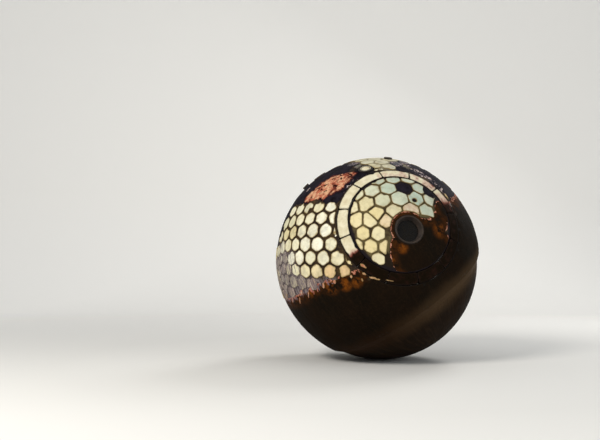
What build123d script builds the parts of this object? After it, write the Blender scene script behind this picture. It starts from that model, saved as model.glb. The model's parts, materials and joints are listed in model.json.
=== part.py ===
"""A landed spherical descent capsule, 2.3 m across.

The capsule is a thin pressure hull inside a thick charring shield. Its own axis
runs from the scorched windward pole (below) to the tiled leeward pole (above).
Everything is drawn about that axis, in millimetres from the ball's centre, and
is then leaned over to the attitude in which the capsule rests on the ground.
A place on the ball is given by its colatitude from the leeward pole and its
longitude from the service hatch.
"""

import itertools
import os
from math import acos, asin, atan2, cos, degrees, radians, sin, sqrt

from build123d import *

# Ball and walls
tile_radius = 1150.0
tile_depth = 11.5
seat_gap = 0.3
shield_depth = 92.9
hull_wall = 10.0

# Worn windward cap
cap_wear = 65.0
cap_offset = 57.0
cap_edge_angle = 57.0
band_angle = 61.6

# Attitude at rest
rest_lean = 35.9
rest_heading = 193.2
rest_roll = 99.3

# Hatch seats
seat_radius = 650.0
seat_clearance = 6.0
seat_depth = 54.3
frame_width = 144.0
frame_depth = 68.0
seal_groove_inset = 24.0
seal_groove_width = 8.0
seal_groove_depth = 5.0
stud_inset = 69.0
stud_count = 30
stud_hole_radius = 7.0
stud_hole_depth = 30.0

# Service hatch cover
lid_inset = 6.0
lid_thickness = 24.7
dome_inset = 114.0
ring_clearance = 5.0
ring_width = 100.0
ring_count = 12
ring_joint = 6.0
ring_wear = 4.0
ring_turn = 5.0
plug_clearance = 10.0
cover_tile_inset = 7.0

# Portholes
porthole_tilt = 6.5
porthole_turn = -11.3
porthole_recess = 156.0
porthole_frame_inset = 8.0
porthole_frame_width = 44.0
porthole_frame_depth = 28.7
bezel_inset = 5.0
bezel_lip = 13.0
bezel_width = 39.0
bezel_wear = 4.0
glass_inset = 34.0
glass_thickness = 18.0
glass_rise = 14.0
glass_gap = 1.0

# Honeycomb tiles
tile_frequency = 9
tile_groove = 17.0
tile_centre_colatitude = 56.4
tile_centre_longitude = 309.3
tile_turn = 62.7
tile_seat_groove = 8.0
tile_least = 36.0
crown_angle = 50.0
cover_turn = 52.5
cover_groove = 10.0

# Recovery container
container_wall = 6.0
container_depth = 440.0
container_floor = 8.0
container_rib_count = 3
container_rib_height = 8.0
container_rib_width = 14.0

# Riser lugs
lug_length = 64.0
lug_thickness = 26.0
lug_base = 10.0
lug_eye_height = 76.0
lug_eye_radius = 22.0
lug_bore = 12.0
lug_turns = (6.0, 186.0)

# Umbilical plate
umbilical_colatitude = 105.0
umbilical_longitude = 200.0
umbilical_sink = 20.2
umbilical_radius = 95.0
umbilical_thickness = 14.0
umbilical_gap = 3.0
umbilical_socket = 9.0
umbilical_socket_depth = 8.0
umbilical_socket_circle = 58.0
umbilical_socket_count = 6

# Heavy equipment under the floor
bay_colatitude = 152.9
bay_longitude = 202.6
bay_drop = 281.0
bay_length = 620.0
bay_width = 560.0
bay_height = 220.0
bay_foot = 60.0
bay_foot_inset = 30.0

# Seat rails, laid along the entry hatch's axis
rail_offset = 535.0
rail_spacing = 460.0
rail_height = 64.0
rail_width = 40.0
rail_web = 10.0
rail_bar = 36.0
rail_bar_levels = (-180.0, 260.0, 690.0)

# Instrument panel, placed from the entry hatch's axis
panel_place = (-620.0, -255.0, 120.0)
panel_depth = 110.0
panel_width = 400.0
panel_height = 210.0
panel_round = 14.0
panel_lean = 12.0
panel_strut = 28.0
panel_strut_spacing = 240.0
globe_radius = 62.0
globe_gap = 2.0
globe_across = -110.0
dial_radius = 36.0
dial_depth = 14.0
dial_columns = 3
dial_rows = 2
dial_pitch = 80.0
dial_across = 76.0

# Side console, placed from the entry hatch's axis
console_place = (330.0, 640.0, 230.0)
console_depth = 170.0
console_width = 110.0
console_length = 260.0
console_round = 12.0
console_bracket = 50.0
stick_radius = 9.0
stick_height = 70.0
stick_knob = 20.0
stick_along = 70.0

# Air bottles on the wall
bottle_radius = 85.0
bottle_stand = 20.0
bottle_foot_radius = 34.0
bottle_band = 22.0
bottle_band_height = 3.0
bottle_colatitude = 104.0
bottle_longitude = 283.0
bottle_pitch = 12.5
bottle_count = 4

# Place of each hatch: name, colatitude, longitude
hatches = (
    ("service_hatch", 71.25, 0.0),
    ("entry_hatch", 78.0, 103.0),
    ("recovery_hatch", 50.0, 197.0),
)

# Place of the porthole at the back
side_porthole_colatitude = 90.0
side_porthole_longitude = 160.0

# Edge of the tiled part: longitude, colatitude
char_edge = (
    (0.0, 64.0),
    (13.0, 78.0),
    (49.0, 83.0),
    (103.0, 86.0),
    (160.0, 82.0),
    (205.0, 78.0),
    (250.0, 77.0),
    (300.0, 74.5),
    (316.0, 77.0),
    (336.0, 83.0),
    (350.0, 77.0),
)

# Patches where the tiles are gone: colatitude, longitude, angular radius
bare_patches = (
    (23.0, 327.0, 8.0),
    (27.0, 350.0, 9.5),
    (34.0, 4.0, 8.0),
    (34.0, 338.0, 8.6),
    (10.0, 330.0, 19.5),
    (32.1, 228.5, 22.0),
    (50.0, 38.0, 5.0),
    (58.0, 42.0, 5.5),
    (70.0, 41.0, 5.0),
    (62.0, 54.0, 12.4),
    (78.0, 50.0, 12.0),
)

# Tile rows of the cover, below and above their seam: pitch, turn, place of one
# tile (right, up), first and last row
cover_fields = (
    (169.0, -5.8, -517.0, 14.0, -6, 0),
    (186.0, 3.6, -292.0, 384.0, -2, 2),
)
cover_seam_least = 0.5

# Patches of the cover where the tiles are gone: right, up, radius
cover_patches = (
    (230.0, -385.0, 400.0),
    (58.0, -118.0, 200.0),
    (560.0, 150.0, 150.0),
    (400.0, 400.0, 75.0),
    (79.0, 407.0, 60.0),
)

# Small fittings on the shield: name, colatitude, longitude, radius, height above it
pole_fittings = (
    ("pole_lock", 0.0, 0.0, 75.0, 10.0),
    ("crown_fitting", 40.2, 57.2, 45.0, 26.0),
    ("side_fitting", 10.1, 227.3, 40.0, 26.0),
)

# Fittings beside a hatch: name, hatch, turn round it, gap to its seat, radius, height
seat_fittings = (("vent_valve", "service_hatch", 162.6, 43.8, 80.0, 10.0),)

# Shape of every fitting, as shares of its own radius and height
fitting_bore = 0.55
fitting_core = 0.6
fitting_core_height = 0.6

shield_radius = tile_radius - tile_depth - seat_gap
shield_inner = shield_radius - shield_depth
hull_radius = shield_inner - seat_gap
hull_inner = hull_radius - hull_wall
cap_radius = tile_radius - cap_wear
umbilical_level = shield_radius - umbilical_sink
bay_reach = hull_inner - bay_drop

# Levels and radii of a hatch, from its seat
frame_face = sqrt(shield_radius**2 - seat_radius**2) - seat_depth
frame_foot = frame_face - frame_depth
frame_radius = seat_radius - seat_clearance
frame_bore = frame_radius - frame_width
stud_circle = frame_radius - stud_inset
container_foot = frame_face - container_depth

# Levels and radii of the service hatch cover, from its frame
lid_radius = frame_radius - lid_inset
lid_foot = frame_face + seat_gap
lid_top = lid_foot + lid_thickness
lid_dome_radius = frame_radius - dome_inset
ring_outer = seat_radius - ring_clearance
ring_inner = ring_outer - ring_width
ring_top = tile_radius - ring_wear
plug_radius = ring_inner - plug_clearance
cover_tile_edge = plug_radius - cover_tile_inset

# Levels and radii of a porthole, from its recess and the hull
porthole_frame_outer = porthole_recess - porthole_frame_inset
porthole_frame_bore = porthole_frame_outer - porthole_frame_width
bezel_flange = porthole_recess - bezel_inset
bezel_mouth = bezel_flange - bezel_lip
bezel_bore = bezel_flange - bezel_width
glass_radius = porthole_recess - glass_inset
glass_level = hull_radius + glass_rise
bezel_foot = glass_level + glass_thickness + glass_gap
bezel_top = tile_radius - bezel_wear

all_hatches = [row[0] for row in hatches]

# Reach of the tools that cut from well inside the hull to well outside the ball
deep = hull_radius / 2
far = 2 * tile_radius

# Overlap between shapes that are fused or cut
lap = 1.0


def place(colatitude, longitude, turn=0.0):
    """Location at the ball's centre whose Z runs out through that place."""
    return Rot(0, 0, longitude) * Rot(0, colatitude, 0) * Rot(0, 0, turn)


def unit(colatitude, longitude):
    """Direction from the ball's centre to that place."""
    t, f = radians(colatitude), radians(longitude)
    return Vector(sin(t) * cos(f), sin(t) * sin(f), cos(t))


def near(spot, colatitude, longitude, reach):
    """Whether a direction lies within an angle of a place."""
    return spot.dot(unit(colatitude, longitude)) > cos(radians(reach))


def hatch_place(name, turn=0.0):
    """Location of a hatch from its row in the table."""
    row = next(row for row in hatches if row[0] == name)
    return place(row[1], row[2], turn)


def beside_seat(hatch, turn, distance):
    """Colatitude and longitude of a place at a distance from a hatch's seat."""
    tilt = degrees(asin(seat_radius / shield_radius) + asin(distance / shield_radius))
    spot = (hatch_place(hatch, turn) * Rot(0, tilt, 0) * Pos(0, 0, 1)).position
    return degrees(acos(spot.Z)), degrees(atan2(spot.Y, spot.X))


fittings = pole_fittings + tuple(
    (name, *beside_seat(hatch, turn, gap + radius), radius, height)
    for name, hatch, turn, gap, radius, height in seat_fittings
)
porthole = Rot(0, 0, porthole_turn) * Rot(0, porthole_tilt, 0)
side_porthole = place(side_porthole_colatitude, side_porthole_longitude)
umbilical = place(umbilical_colatitude, umbilical_longitude)
bay = place(bay_colatitude, bay_longitude)


def disc(radius, low, high):
    """Round bar about Z between two levels."""
    return Pos(0, 0, (low + high) / 2) * Cylinder(radius, high - low)


def ring(bore, radius, low, high):
    """Round ring about Z between two levels."""
    return disc(radius, low, high) - disc(bore, low - lap, high + lap)


def shell(inner, outer):
    """Hollow ball."""
    return Sphere(outer) - Sphere(inner)


def at_hatches(radius, low):
    """Round bars running outwards from a level at every hatch."""
    return [hatch_place(name) * disc(radius, low, far) for name in all_hatches]


def polar(radius, angle):
    """Point in the XZ plane at an angle from the windward pole."""
    return Vector(radius * sin(radians(angle)), 0, -radius * cos(radians(angle)))


def polar_arc(radius, start, end):
    """Arc about the ball's centre between two angles from the windward pole."""
    middle = (start + end) / 2
    return ThreePointArc(polar(radius, start), polar(radius, middle), polar(radius, end))


def cap_point(angle):
    """Point of the worn cap at an angle from its pole."""
    side = cap_offset * sin(radians(angle))
    reach = cap_offset * cos(radians(angle)) + sqrt(cap_radius**2 - side**2)
    return polar(reach, angle)


def shield_front():
    """Worn windward cap with the bevelled band at its edge."""
    edge = cap_point(cap_edge_angle)
    pole = cap_point(0)
    outline = [
        polar_arc(shield_inner, 0, band_angle),
        Line(polar(shield_inner, band_angle), polar(shield_radius, band_angle)),
        Line(polar(shield_radius, band_angle), edge),
        ThreePointArc(edge, cap_point(cap_edge_angle / 2), pole),
        Line(pole, polar(shield_inner, 0)),
    ]
    return revolve(make_face(outline), Axis.Z)


def shield_rear():
    """Charring shield from the band to the leeward pole, with its seats."""
    start = band_angle + degrees(seat_gap / shield_radius)
    outline = [
        polar_arc(shield_inner, start, 180),
        Line(polar(shield_inner, 180), polar(shield_radius, 180)),
        polar_arc(shield_radius, 180, start),
        Line(polar(shield_radius, start), polar(shield_inner, start)),
    ]
    body = revolve(make_face(outline), Axis.Z)
    body -= at_hatches(seat_radius, deep)
    body -= side_porthole * disc(porthole_recess, 0, far)
    pocket = disc(umbilical_radius + umbilical_gap, umbilical_level - seat_gap, far)
    return body - umbilical * pocket


def pressure_hull():
    """Thin hull, cut away inside each hatch frame and porthole."""
    body = shell(hull_inner, hull_radius)
    body -= at_hatches(frame_radius + seat_gap, deep)
    return body - side_porthole * disc(porthole_frame_outer + seat_gap, 0, far)


def hatch_frame(drilled):
    """Bolting ring of a hatch, with a seal groove and, where open, its stud holes."""
    frame = ring(frame_bore, frame_radius, frame_foot, frame_face)
    groove_bore = frame_bore + seal_groove_inset
    groove_outer = groove_bore + seal_groove_width
    groove_low = frame_face - seal_groove_depth
    frame -= ring(groove_bore, groove_outer, groove_low, frame_face + lap)
    if drilled:
        hole = disc(stud_hole_radius, frame_face - stud_hole_depth, frame_face + lap)
        frame -= [spot * hole for spot in PolarLocations(stud_circle, stud_count)]
    return frame


def porthole_tube():
    """Frame of a porthole, which carries its glass."""
    high = glass_level - seat_gap
    low = high - porthole_frame_depth
    return ring(porthole_frame_bore, porthole_frame_outer, low, high)


def porthole_bezel():
    """Heat-proof collar of a porthole, opening outwards."""
    collar = disc(bezel_flange, bezel_foot, far) & Sphere(bezel_top)
    depth = bezel_top - bezel_foot
    mouth = Pos(0, 0, bezel_foot + depth / 2) * Cone(bezel_bore, bezel_mouth, depth)
    return collar - mouth - disc(bezel_bore, 0, bezel_foot + lap)


def porthole_glass():
    """Round pane between a porthole's frame and its collar."""
    return disc(glass_radius, glass_level, glass_level + glass_thickness)


def service_lid():
    """Lid plate: flat flange, dome and the frame of the porthole."""
    flange = ring(frame_bore, lid_radius, lid_foot, lid_top)
    dome = shell(hull_inner, hull_radius) & disc(lid_dome_radius, 0, far)
    opening = disc(porthole_frame_outer - lap, 0, far)
    return flange + dome - porthole * opening + porthole * porthole_tube()


def service_plug():
    """Charring plug on the lid's dome, inside the ring blocks."""
    plug = disc(plug_radius, lid_top + seat_gap, far) & Sphere(shield_radius)
    return plug - Sphere(shield_inner) - porthole * disc(porthole_recess, 0, far)


def service_ring():
    """Ring blocks round the cover."""
    whole = ring(ring_inner, ring_outer, lid_top + seat_gap, far) & Sphere(ring_top)
    joint = Pos(ring_outer, 0, hull_radius) * Box(2 * ring_outer, ring_joint, far)
    step = 360 / ring_count
    return whole - [Rot(0, 0, ring_turn + step * i) * joint for i in range(ring_count)]


def icosahedron():
    """Twelve unit vertices with the middle of one face on Z."""
    upper = degrees(acos(sqrt((5 + 2 * sqrt(5)) / 15)))
    lower = degrees(acos(sqrt((5 - 2 * sqrt(5)) / 15)))
    rows = ((upper, 90), (lower, 30), (180 - lower, 90), (180 - upper, 30))
    third = 360 / 3
    return [unit(tilt, turn + third * i) for tilt, turn in rows for i in range(3)]


def honeycomb(frequency):
    """Centre and corners, as unit vectors, of each cell of a honeycomb ball."""
    cells = {}
    between_vertices = degrees(acos(1 / sqrt(5)))
    for a, b, c in itertools.combinations(icosahedron(), 3):
        if max(a.get_angle(b), b.get_angle(c), c.get_angle(a)) > between_vertices + 1:
            continue
        along, across = (b - a) / frequency, (c - a) / frequency
        for i, j in itertools.product(range(frequency), repeat=2):
            triangles = [[(i, j), (i + 1, j), (i, j + 1)]]
            triangles.append([(i + 1, j), (i, j + 1), (i + 1, j + 1)])
            for triangle in triangles:
                if max(m + n for m, n in triangle) > frequency:
                    continue
                knots = [(a + along * m + across * n).normalized() for m, n in triangle]
                corner = (knots[0] + knots[1] + knots[2]).normalized()
                for knot in knots:
                    key = tuple(round(value, 4) + 0.0 for value in knot)
                    cells.setdefault(key, (knot, []))[1].append(corner)
    return cells.values()


def edge_colatitude(longitude):
    """Colatitude of the char edge at a longitude."""
    rows = char_edge + ((360.0, char_edge[0][1]),)
    for (west, low), (east, high) in zip(rows, rows[1:]):
        if longitude <= east:
            return low + (high - low) * (longitude - west) / (east - west)


def is_tiled(spot):
    """Whether a tile is still in place there."""
    colatitude = degrees(acos(spot.Z))
    longitude = degrees(atan2(spot.Y, spot.X)) % 360
    bore_angle = degrees(asin(frame_bore / tile_radius))
    if colatitude > edge_colatitude(longitude):
        return False
    if any(near(spot, *patch) for patch in bare_patches):
        return False
    return not any(near(spot, row[1], row[2], bore_angle) for row in hatches)


def tile(centre, corners, groove, trimmed=False):
    """Tile with its corners pulled in by half the groove.

    A whole tile is flat-backed and seated at its middle. A trimmed one may have
    lost its middle, so its back follows the ball.
    """
    level = shield_radius + seat_gap
    plane = Plane(origin=centre * level, z_dir=centre)
    flat = [plane.to_local_coords(c * (level / c.dot(centre))) for c in corners]
    flat.sort(key=lambda p: atan2(p.Y, p.X))
    inradius = min((p + q).length / 2 for p, q in zip(flat, flat[1:] + flat[:1]))
    shrink = 1 - groove / 2 / inradius
    face = make_face(Polyline([p * shrink for p in flat], close=True))
    if trimmed:
        block = plane * Pos(0, 0, -tile_depth) * extrude(face, 3 * tile_depth)
        return (block & Sphere(tile_radius)) - Sphere(level)
    return plane * extrude(face, 2 * tile_depth) & Sphere(tile_radius)


def cut_tile(centre, corners, groove, cuts):
    """Pieces left of a tile where round things stand in its way."""
    if not cuts:
        return tile(centre, corners, groove).solids()
    pieces = [tile(centre, corners, groove, trimmed=True)]
    for cut in cuts:
        pieces = [rest for piece in pieces for rest in (piece - cut).solids()]
    return [piece for piece in pieces if piece.volume > tile_least**2 * tile_depth]


def shield_tiles():
    """Tiles of the shield, split into those round the crown and on the flank."""
    home = Plane(place(tile_centre_colatitude, tile_centre_longitude, tile_turn))
    seats = [row[1:3] + (seat_radius + tile_seat_groove,) for row in hatches]
    seats += [row[1:4] for row in fittings]
    seats.append((side_porthole_colatitude, side_porthole_longitude, porthole_recess))
    crown, flank = [], []
    for centre, corners in honeycomb(tile_frequency):
        spot = home.from_local_coords(centre)
        if not is_tiled(spot):
            continue
        cuts = []
        cell_radius = tile_radius * max((c - centre).length for c in corners)
        for colatitude, longitude, radius in seats:
            reach = degrees(asin((radius + tile_groove + cell_radius) / tile_radius))
            if near(spot, colatitude, longitude, reach):
                hole = disc(radius + tile_groove / 2, 0, far)
                cuts.append(place(colatitude, longitude) * hole)
        group = crown if near(spot, 0, 0, crown_angle) else flank
        outline = [home.from_local_coords(c) for c in corners]
        group.extend(cut_tile(spot, outline, tile_groove, cuts))
    return crown, flank


def cover_spots():
    """Middles of the cover's tiles, on the plane that touches the ball there."""
    spots = []
    for pitch, turn, right, up, first, last in cover_fields:
        count = int(plug_radius / pitch) + 4
        rows = itertools.product(range(-count, 2 * count), range(first, last + 1))
        for i, j in rows:
            step = Vector(i + j / 2, j * sqrt(3) / 2).rotate(Axis.Z, turn)
            spot = Vector(right, up) + step * pitch
            if spot.length < cover_tile_edge + pitch:
                if all((spot - s).length > cover_seam_least * pitch for s in spots):
                    spots.append(spot)
    return spots


def cell(spot, spots, reach):
    """Corners of the part of the plane that is nearer to one spot than to the rest."""
    corners = [spot + Vector(reach, 0).rotate(Axis.Z, 60 * k) for k in range(6)]
    for other in spots:
        across = other - spot
        if not 0 < across.length < 2 * reach:
            continue
        level = across.dot(other + spot) / 2
        kept = []
        for p, q in zip(corners, corners[1:] + corners[:1]):
            inside, beyond = level - p.dot(across), level - q.dot(across)
            if inside >= 0:
                kept.append(p)
            if inside * beyond < 0:
                kept.append(p + (q - p) * (inside / (inside - beyond)))
        corners = kept
    return corners


def cover_tiles():
    """Tiles on the service hatch cover: each fills the plane up to its neighbours,
    cut short by the ring, the porthole and the scorched patches."""
    turn = Rot(0, 0, cover_turn)
    rim = ring(cover_tile_edge, far, deep, far)
    holes = [(Vector(*row[:2]), row[2]) for row in cover_patches]
    middle = (turn.inverse() * porthole * Pos(0, 0, 1)).position
    middle *= tile_radius / middle.Z
    holes.append((Vector(middle.X, middle.Y), porthole_recess + cover_groove / 2))
    spots = cover_spots()
    pieces = []
    for spot in spots:
        if any((spot - hole).length < radius for hole, radius in holes):
            continue
        outline = cell(spot, spots, cover_fields[-1][0])
        if min(corner.length for corner in outline) > cover_tile_edge:
            continue
        reach = max((corner - spot).length for corner in outline)
        cuts = [rim] if spot.length + reach > cover_tile_edge else []
        for hole, radius in holes:
            if (spot - hole).length < radius + reach:
                lean = Plane((0, 0, 0), z_dir=(hole.X, hole.Y, tile_radius))
                cuts.append(lean * disc(radius, 0, far))
        corners = [Vector(c.X, c.Y, tile_radius).normalized() for c in outline]
        centre = Vector(spot.X, spot.Y, tile_radius).normalized()
        pieces.extend(turn * s for s in cut_tile(centre, corners, cover_groove, cuts))
    return pieces


def recovery_container():
    """Open drum hung in the recovery hatch frame."""
    outer = frame_bore - seat_gap
    drum = ring(outer - container_wall, outer, container_foot, frame_face)
    drum += disc(outer, container_foot, container_foot + container_floor)
    step = (frame_face - container_foot) / (container_rib_count + 1)
    rib_bore = outer - container_wall - container_rib_height
    for i in range(container_rib_count):
        middle = container_foot + step * (i + 1)
        low = middle - container_rib_width / 2
        drum += ring(rib_bore, outer - lap, low, low + container_rib_width)
    return drum


def riser_lug():
    """Eye that takes the end of the riser."""
    low = frame_face + seat_gap
    base = Pos(0, 0, low + lug_base / 2) * Box(2 * lug_thickness, lug_length, lug_base)
    web = Box(lug_thickness, 2 * lug_eye_radius, lug_eye_height)
    web = Pos(0, 0, low + lug_eye_height / 2) * web
    across = Pos(0, 0, low + lug_eye_height) * Rot(0, 90, 0)
    eye = across * Cylinder(lug_eye_radius, lug_thickness)
    return base + web + eye - across * Cylinder(lug_bore, 2 * lug_thickness)


def riser_lugs():
    """Both riser lugs on the recovery hatch frame, between its studs."""
    seat = Pos(stud_circle, 0, 0)
    return [Rot(0, 0, turn) * seat * riser_lug() for turn in lug_turns]


def fitting(radius, height):
    """Stepped round boss, flat-bottomed, on the shield."""
    low = shield_radius + seat_gap
    core = disc(radius * fitting_core, low, low + height * fitting_core_height)
    return ring(radius * fitting_bore, radius, low, low + height) + core


def umbilical_plate():
    """Round plate with the sockets of the umbilical."""
    high = umbilical_level + umbilical_thickness
    plate = disc(umbilical_radius, umbilical_level, high)
    socket = disc(umbilical_socket, high - umbilical_socket_depth, high + lap)
    spots = PolarLocations(umbilical_socket_circle, umbilical_socket_count)
    return plate - [spot * socket for spot in spots] - socket


def equipment_bay(margin=0.0):
    """Heavy block of equipment under the floor."""
    block = Box(bay_length + margin, bay_width + margin, bay_height + margin)
    return bay * Pos(0, 0, bay_reach) * block


def bay_feet():
    """Feet between the equipment and the hull."""
    inner = Sphere(hull_inner - seat_gap)
    low = bay_reach + bay_height / 2 + seat_gap
    post = Pos(0, 0, (low + far) / 2) * Box(bay_foot, bay_foot, far - low)
    x = bay_length / 2 - bay_foot_inset - bay_foot / 2
    y = bay_width / 2 - bay_foot_inset - bay_foot / 2
    corners = itertools.product((-x, x), (-y, y))
    return [bay * (Pos(u, v, 0) * post & inner) for u, v in corners]


def seat_rails():
    """Pair of channel rails with the bars that tie them."""
    low, high = -far / 2, frame_foot - seat_gap
    middle, length = (low + high) / 2, high - low
    channel = Box(rail_height, rail_width, length)
    channel -= Pos(-rail_web, 0, 0) * Box(rail_height, rail_width - 2 * rail_web, 2 * length)
    rails = Part()
    for side in (-1, 1):
        rails += Pos(rail_offset, side * rail_spacing / 2, middle) * channel
    bar = Box(rail_bar, rail_spacing + rail_width, rail_bar)
    for level in rail_bar_levels:
        rails += Pos(rail_offset + (rail_height + rail_bar) / 2, 0, level) * bar
    rails &= Sphere(hull_inner - seat_gap)
    standing = hatch_place("entry_hatch") * rails - equipment_bay(2 * seat_gap)
    return max(standing.solids(), key=lambda s: s.volume)


def panel_spots():
    """Middles of the dials on the panel's face: across and along."""
    rows = itertools.product(range(dial_columns), range(dial_rows))
    return [
        (
            dial_across + dial_pitch * (i - (dial_columns - 1) / 2),
            dial_pitch * (j - (dial_rows - 1) / 2),
        )
        for i, j in rows
    ]


panel = hatch_place("entry_hatch") * Pos(*panel_place) * Rot(0, panel_lean, 0)
panel_face = panel * Pos(panel_depth / 2, 0, 0) * Rot(0, 90, 0)


def instrument_panel():
    """Panel housing with the socket of its globe and its two struts."""
    housing = Box(panel_depth, panel_width, panel_height)
    housing = fillet(housing.edges().filter_by(Axis.X), panel_round)
    strut = Box(far, panel_strut, panel_strut)
    for side in (-1, 1):
        housing += Pos(-far / 2, side * panel_strut_spacing / 2, 0) * strut
    body = panel * housing & Sphere(hull_inner - seat_gap)
    socket = Cylinder(globe_radius + globe_gap, 2 * globe_radius)
    return body - panel_face * Pos(0, globe_across, 0) * socket


def panel_globe():
    """Globe of the panel, half sunk in its socket."""
    return panel_face * Pos(0, globe_across, seat_gap) * Sphere(globe_radius)


def panel_dials():
    """Round dials on the panel's face."""
    dial = Cylinder(dial_radius, dial_depth)
    level = seat_gap + dial_depth / 2
    return [panel_face * Pos(along, across, level) * dial for across, along in panel_spots()]


console = hatch_place("entry_hatch") * Pos(*console_place)


def side_console():
    """Console beside the crew member, on a bracket to the hull."""
    box = Box(console_depth, console_width, console_length)
    box = fillet(box.edges().filter_by(Axis.Z), console_round)
    bracket = Box(console_bracket, far, console_bracket)
    box += Pos(0, far / 2, 0) * bracket
    return console * box & Sphere(hull_inner - seat_gap)


def hand_controller():
    """Stick on the console's inward end."""
    low = console_depth / 2 + seat_gap
    stick = disc(stick_radius, low, low + stick_height)
    stick += Pos(0, 0, low + stick_height) * Sphere(stick_knob)
    return console * Pos(0, 0, stick_along) * Rot(0, -90, 0) * stick


def air_bottles():
    """Row of banded air bottles standing on the wall."""
    wall = hull_inner - seat_gap
    level = wall - bottle_stand - bottle_radius
    bottle = Pos(0, 0, level) * Sphere(bottle_radius)
    bottle += disc(bottle_foot_radius, level, far) & Sphere(wall)
    band = Cylinder(bottle_radius + bottle_band_height, bottle_band)
    bottle += Pos(0, 0, level) * band
    first = bottle_longitude - bottle_pitch * (bottle_count - 1) / 2
    turns = [first + bottle_pitch * i for i in range(bottle_count)]
    return [place(bottle_colatitude, turn) * bottle for turn in turns]


def at_rest():
    """Location that leans the ball over and stands it on the ground."""
    lean = place(rest_lean, rest_heading, rest_roll)
    pole = (lean * Pos(0, 0, -1)).position
    lowest = pole.Z * cap_offset - cap_radius
    right = pole.X * cap_offset + cap_radius
    return Pos((tile_radius - right) / 2, 0, -lowest) * lean


def shield_nodes():
    """Shield, hull and what sits in and on them."""
    crown, flank = shield_tiles()
    nodes = {
        "shield_front": shield_front(),
        "shield_rear": shield_rear(),
        "pressure_hull": pressure_hull(),
        "tiles_crown": crown,
        "tiles_flank": flank,
        "side_porthole_frame": side_porthole * porthole_tube(),
        "side_porthole_bezel": side_porthole * porthole_bezel(),
        "side_porthole_glass": side_porthole * porthole_glass(),
        "umbilical_plate": umbilical * umbilical_plate(),
    }
    for name, colatitude, longitude, radius, height in fittings:
        nodes[name] = place(colatitude, longitude) * fitting(radius, height)
    return nodes


def hatch_nodes():
    """Hatch frames, the recovery container and the service hatch cover."""
    service = hatch_place("service_hatch")
    recovery = hatch_place("recovery_hatch")
    return {
        "service_hatch_frame": service * hatch_frame(drilled=False),
        "entry_hatch_frame": hatch_place("entry_hatch") * hatch_frame(drilled=True),
        "recovery_hatch_frame": recovery * hatch_frame(drilled=True),
        "recovery_container": recovery * recovery_container(),
        "riser_lugs": [recovery * lug for lug in riser_lugs()],
        "service_lid": service * service_lid(),
        "service_plug": service * service_plug(),
        "service_ring": service * service_ring(),
        "service_tiles": [service * piece for piece in cover_tiles()],
        "porthole_bezel": service * porthole * porthole_bezel(),
        "porthole_glass": service * porthole * porthole_glass(),
    }


def cabin_nodes():
    """Fixtures of the cabin."""
    return {
        "equipment_bay": equipment_bay(),
        "bay_feet": bay_feet(),
        "seat_rails": seat_rails(),
        "instrument_panel": instrument_panel(),
        "panel_globe": panel_globe(),
        "panel_dials": panel_dials(),
        "side_console": side_console(),
        "hand_controller": hand_controller(),
        "air_bottles": air_bottles(),
    }


def main():
    """Write every node where it rests."""
    os.makedirs("parts", exist_ok=True)
    rest = at_rest()
    for name, shape in {**shield_nodes(), **hatch_nodes(), **cabin_nodes()}.items():
        pieces = shape if isinstance(shape, list) else shape.solids()
        whole = Compound(children=[rest * piece for piece in pieces])
        export_step(whole, f"parts/{name}.step")


main()
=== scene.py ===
"""Dresses the landed capsule for its picture.

Colours follow a place's colatitude from the tiled pole and its longitude from
the service hatch, as the scorching does on the real ball. Lengths are metres.
"""
import json
import random
from math import acos, asin, atan2, cos, degrees, pi, radians, sin, sqrt, tau

import bmesh
import bpy
import numpy as np
from mathutils import Matrix, Vector, geometry, noise
from mathutils.bvhtree import BVHTree


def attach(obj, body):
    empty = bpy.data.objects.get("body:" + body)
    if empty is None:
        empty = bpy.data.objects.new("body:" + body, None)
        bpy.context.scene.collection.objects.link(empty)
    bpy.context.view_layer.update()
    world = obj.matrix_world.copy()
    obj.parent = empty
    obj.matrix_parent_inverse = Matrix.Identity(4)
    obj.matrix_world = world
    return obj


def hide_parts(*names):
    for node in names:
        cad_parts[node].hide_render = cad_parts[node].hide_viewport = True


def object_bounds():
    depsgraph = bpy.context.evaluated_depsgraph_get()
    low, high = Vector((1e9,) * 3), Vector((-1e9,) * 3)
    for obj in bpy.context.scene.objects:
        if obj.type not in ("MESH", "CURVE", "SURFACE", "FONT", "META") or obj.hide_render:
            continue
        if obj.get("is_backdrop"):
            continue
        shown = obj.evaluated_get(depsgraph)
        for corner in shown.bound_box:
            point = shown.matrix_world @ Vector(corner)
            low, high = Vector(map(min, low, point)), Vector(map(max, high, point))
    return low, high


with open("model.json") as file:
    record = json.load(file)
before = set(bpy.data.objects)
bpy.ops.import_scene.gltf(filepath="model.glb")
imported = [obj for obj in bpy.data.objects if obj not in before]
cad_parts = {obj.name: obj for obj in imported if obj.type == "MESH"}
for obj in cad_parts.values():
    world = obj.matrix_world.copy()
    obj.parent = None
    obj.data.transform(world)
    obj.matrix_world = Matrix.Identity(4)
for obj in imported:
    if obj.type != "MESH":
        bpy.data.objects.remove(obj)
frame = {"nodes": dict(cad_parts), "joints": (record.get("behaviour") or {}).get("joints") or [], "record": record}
cad_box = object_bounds()
nodes = frame["nodes"]
mounts = {mount["name"]: mount for mount in frame["record"]["mounts"]}

# Picture
lens = 50
sensor = 36
eye_from_ball = Vector((-0.8745, -9.4949, -0.1034))
eye_pitch = radians(3.298)

# Ball
tile_radius = 1.150
tile_depth = 0.0115
seat_gap = 0.0003
shield_radius = tile_radius - tile_depth - seat_gap
shield_inner = 1.0453
seat_radius = 0.650
seat_depth = 0.0543
frame_face = sqrt(shield_radius**2 - seat_radius**2) - seat_depth
frame_bore = 0.500
stud_circle = 0.575
stud_count = 30
ring_top = 1.146
ring_floor = 0.90535
plug_radius = 0.535
band_angle = 61.6
hatch_colatitudes = (71.25, 78, 50)

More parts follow.
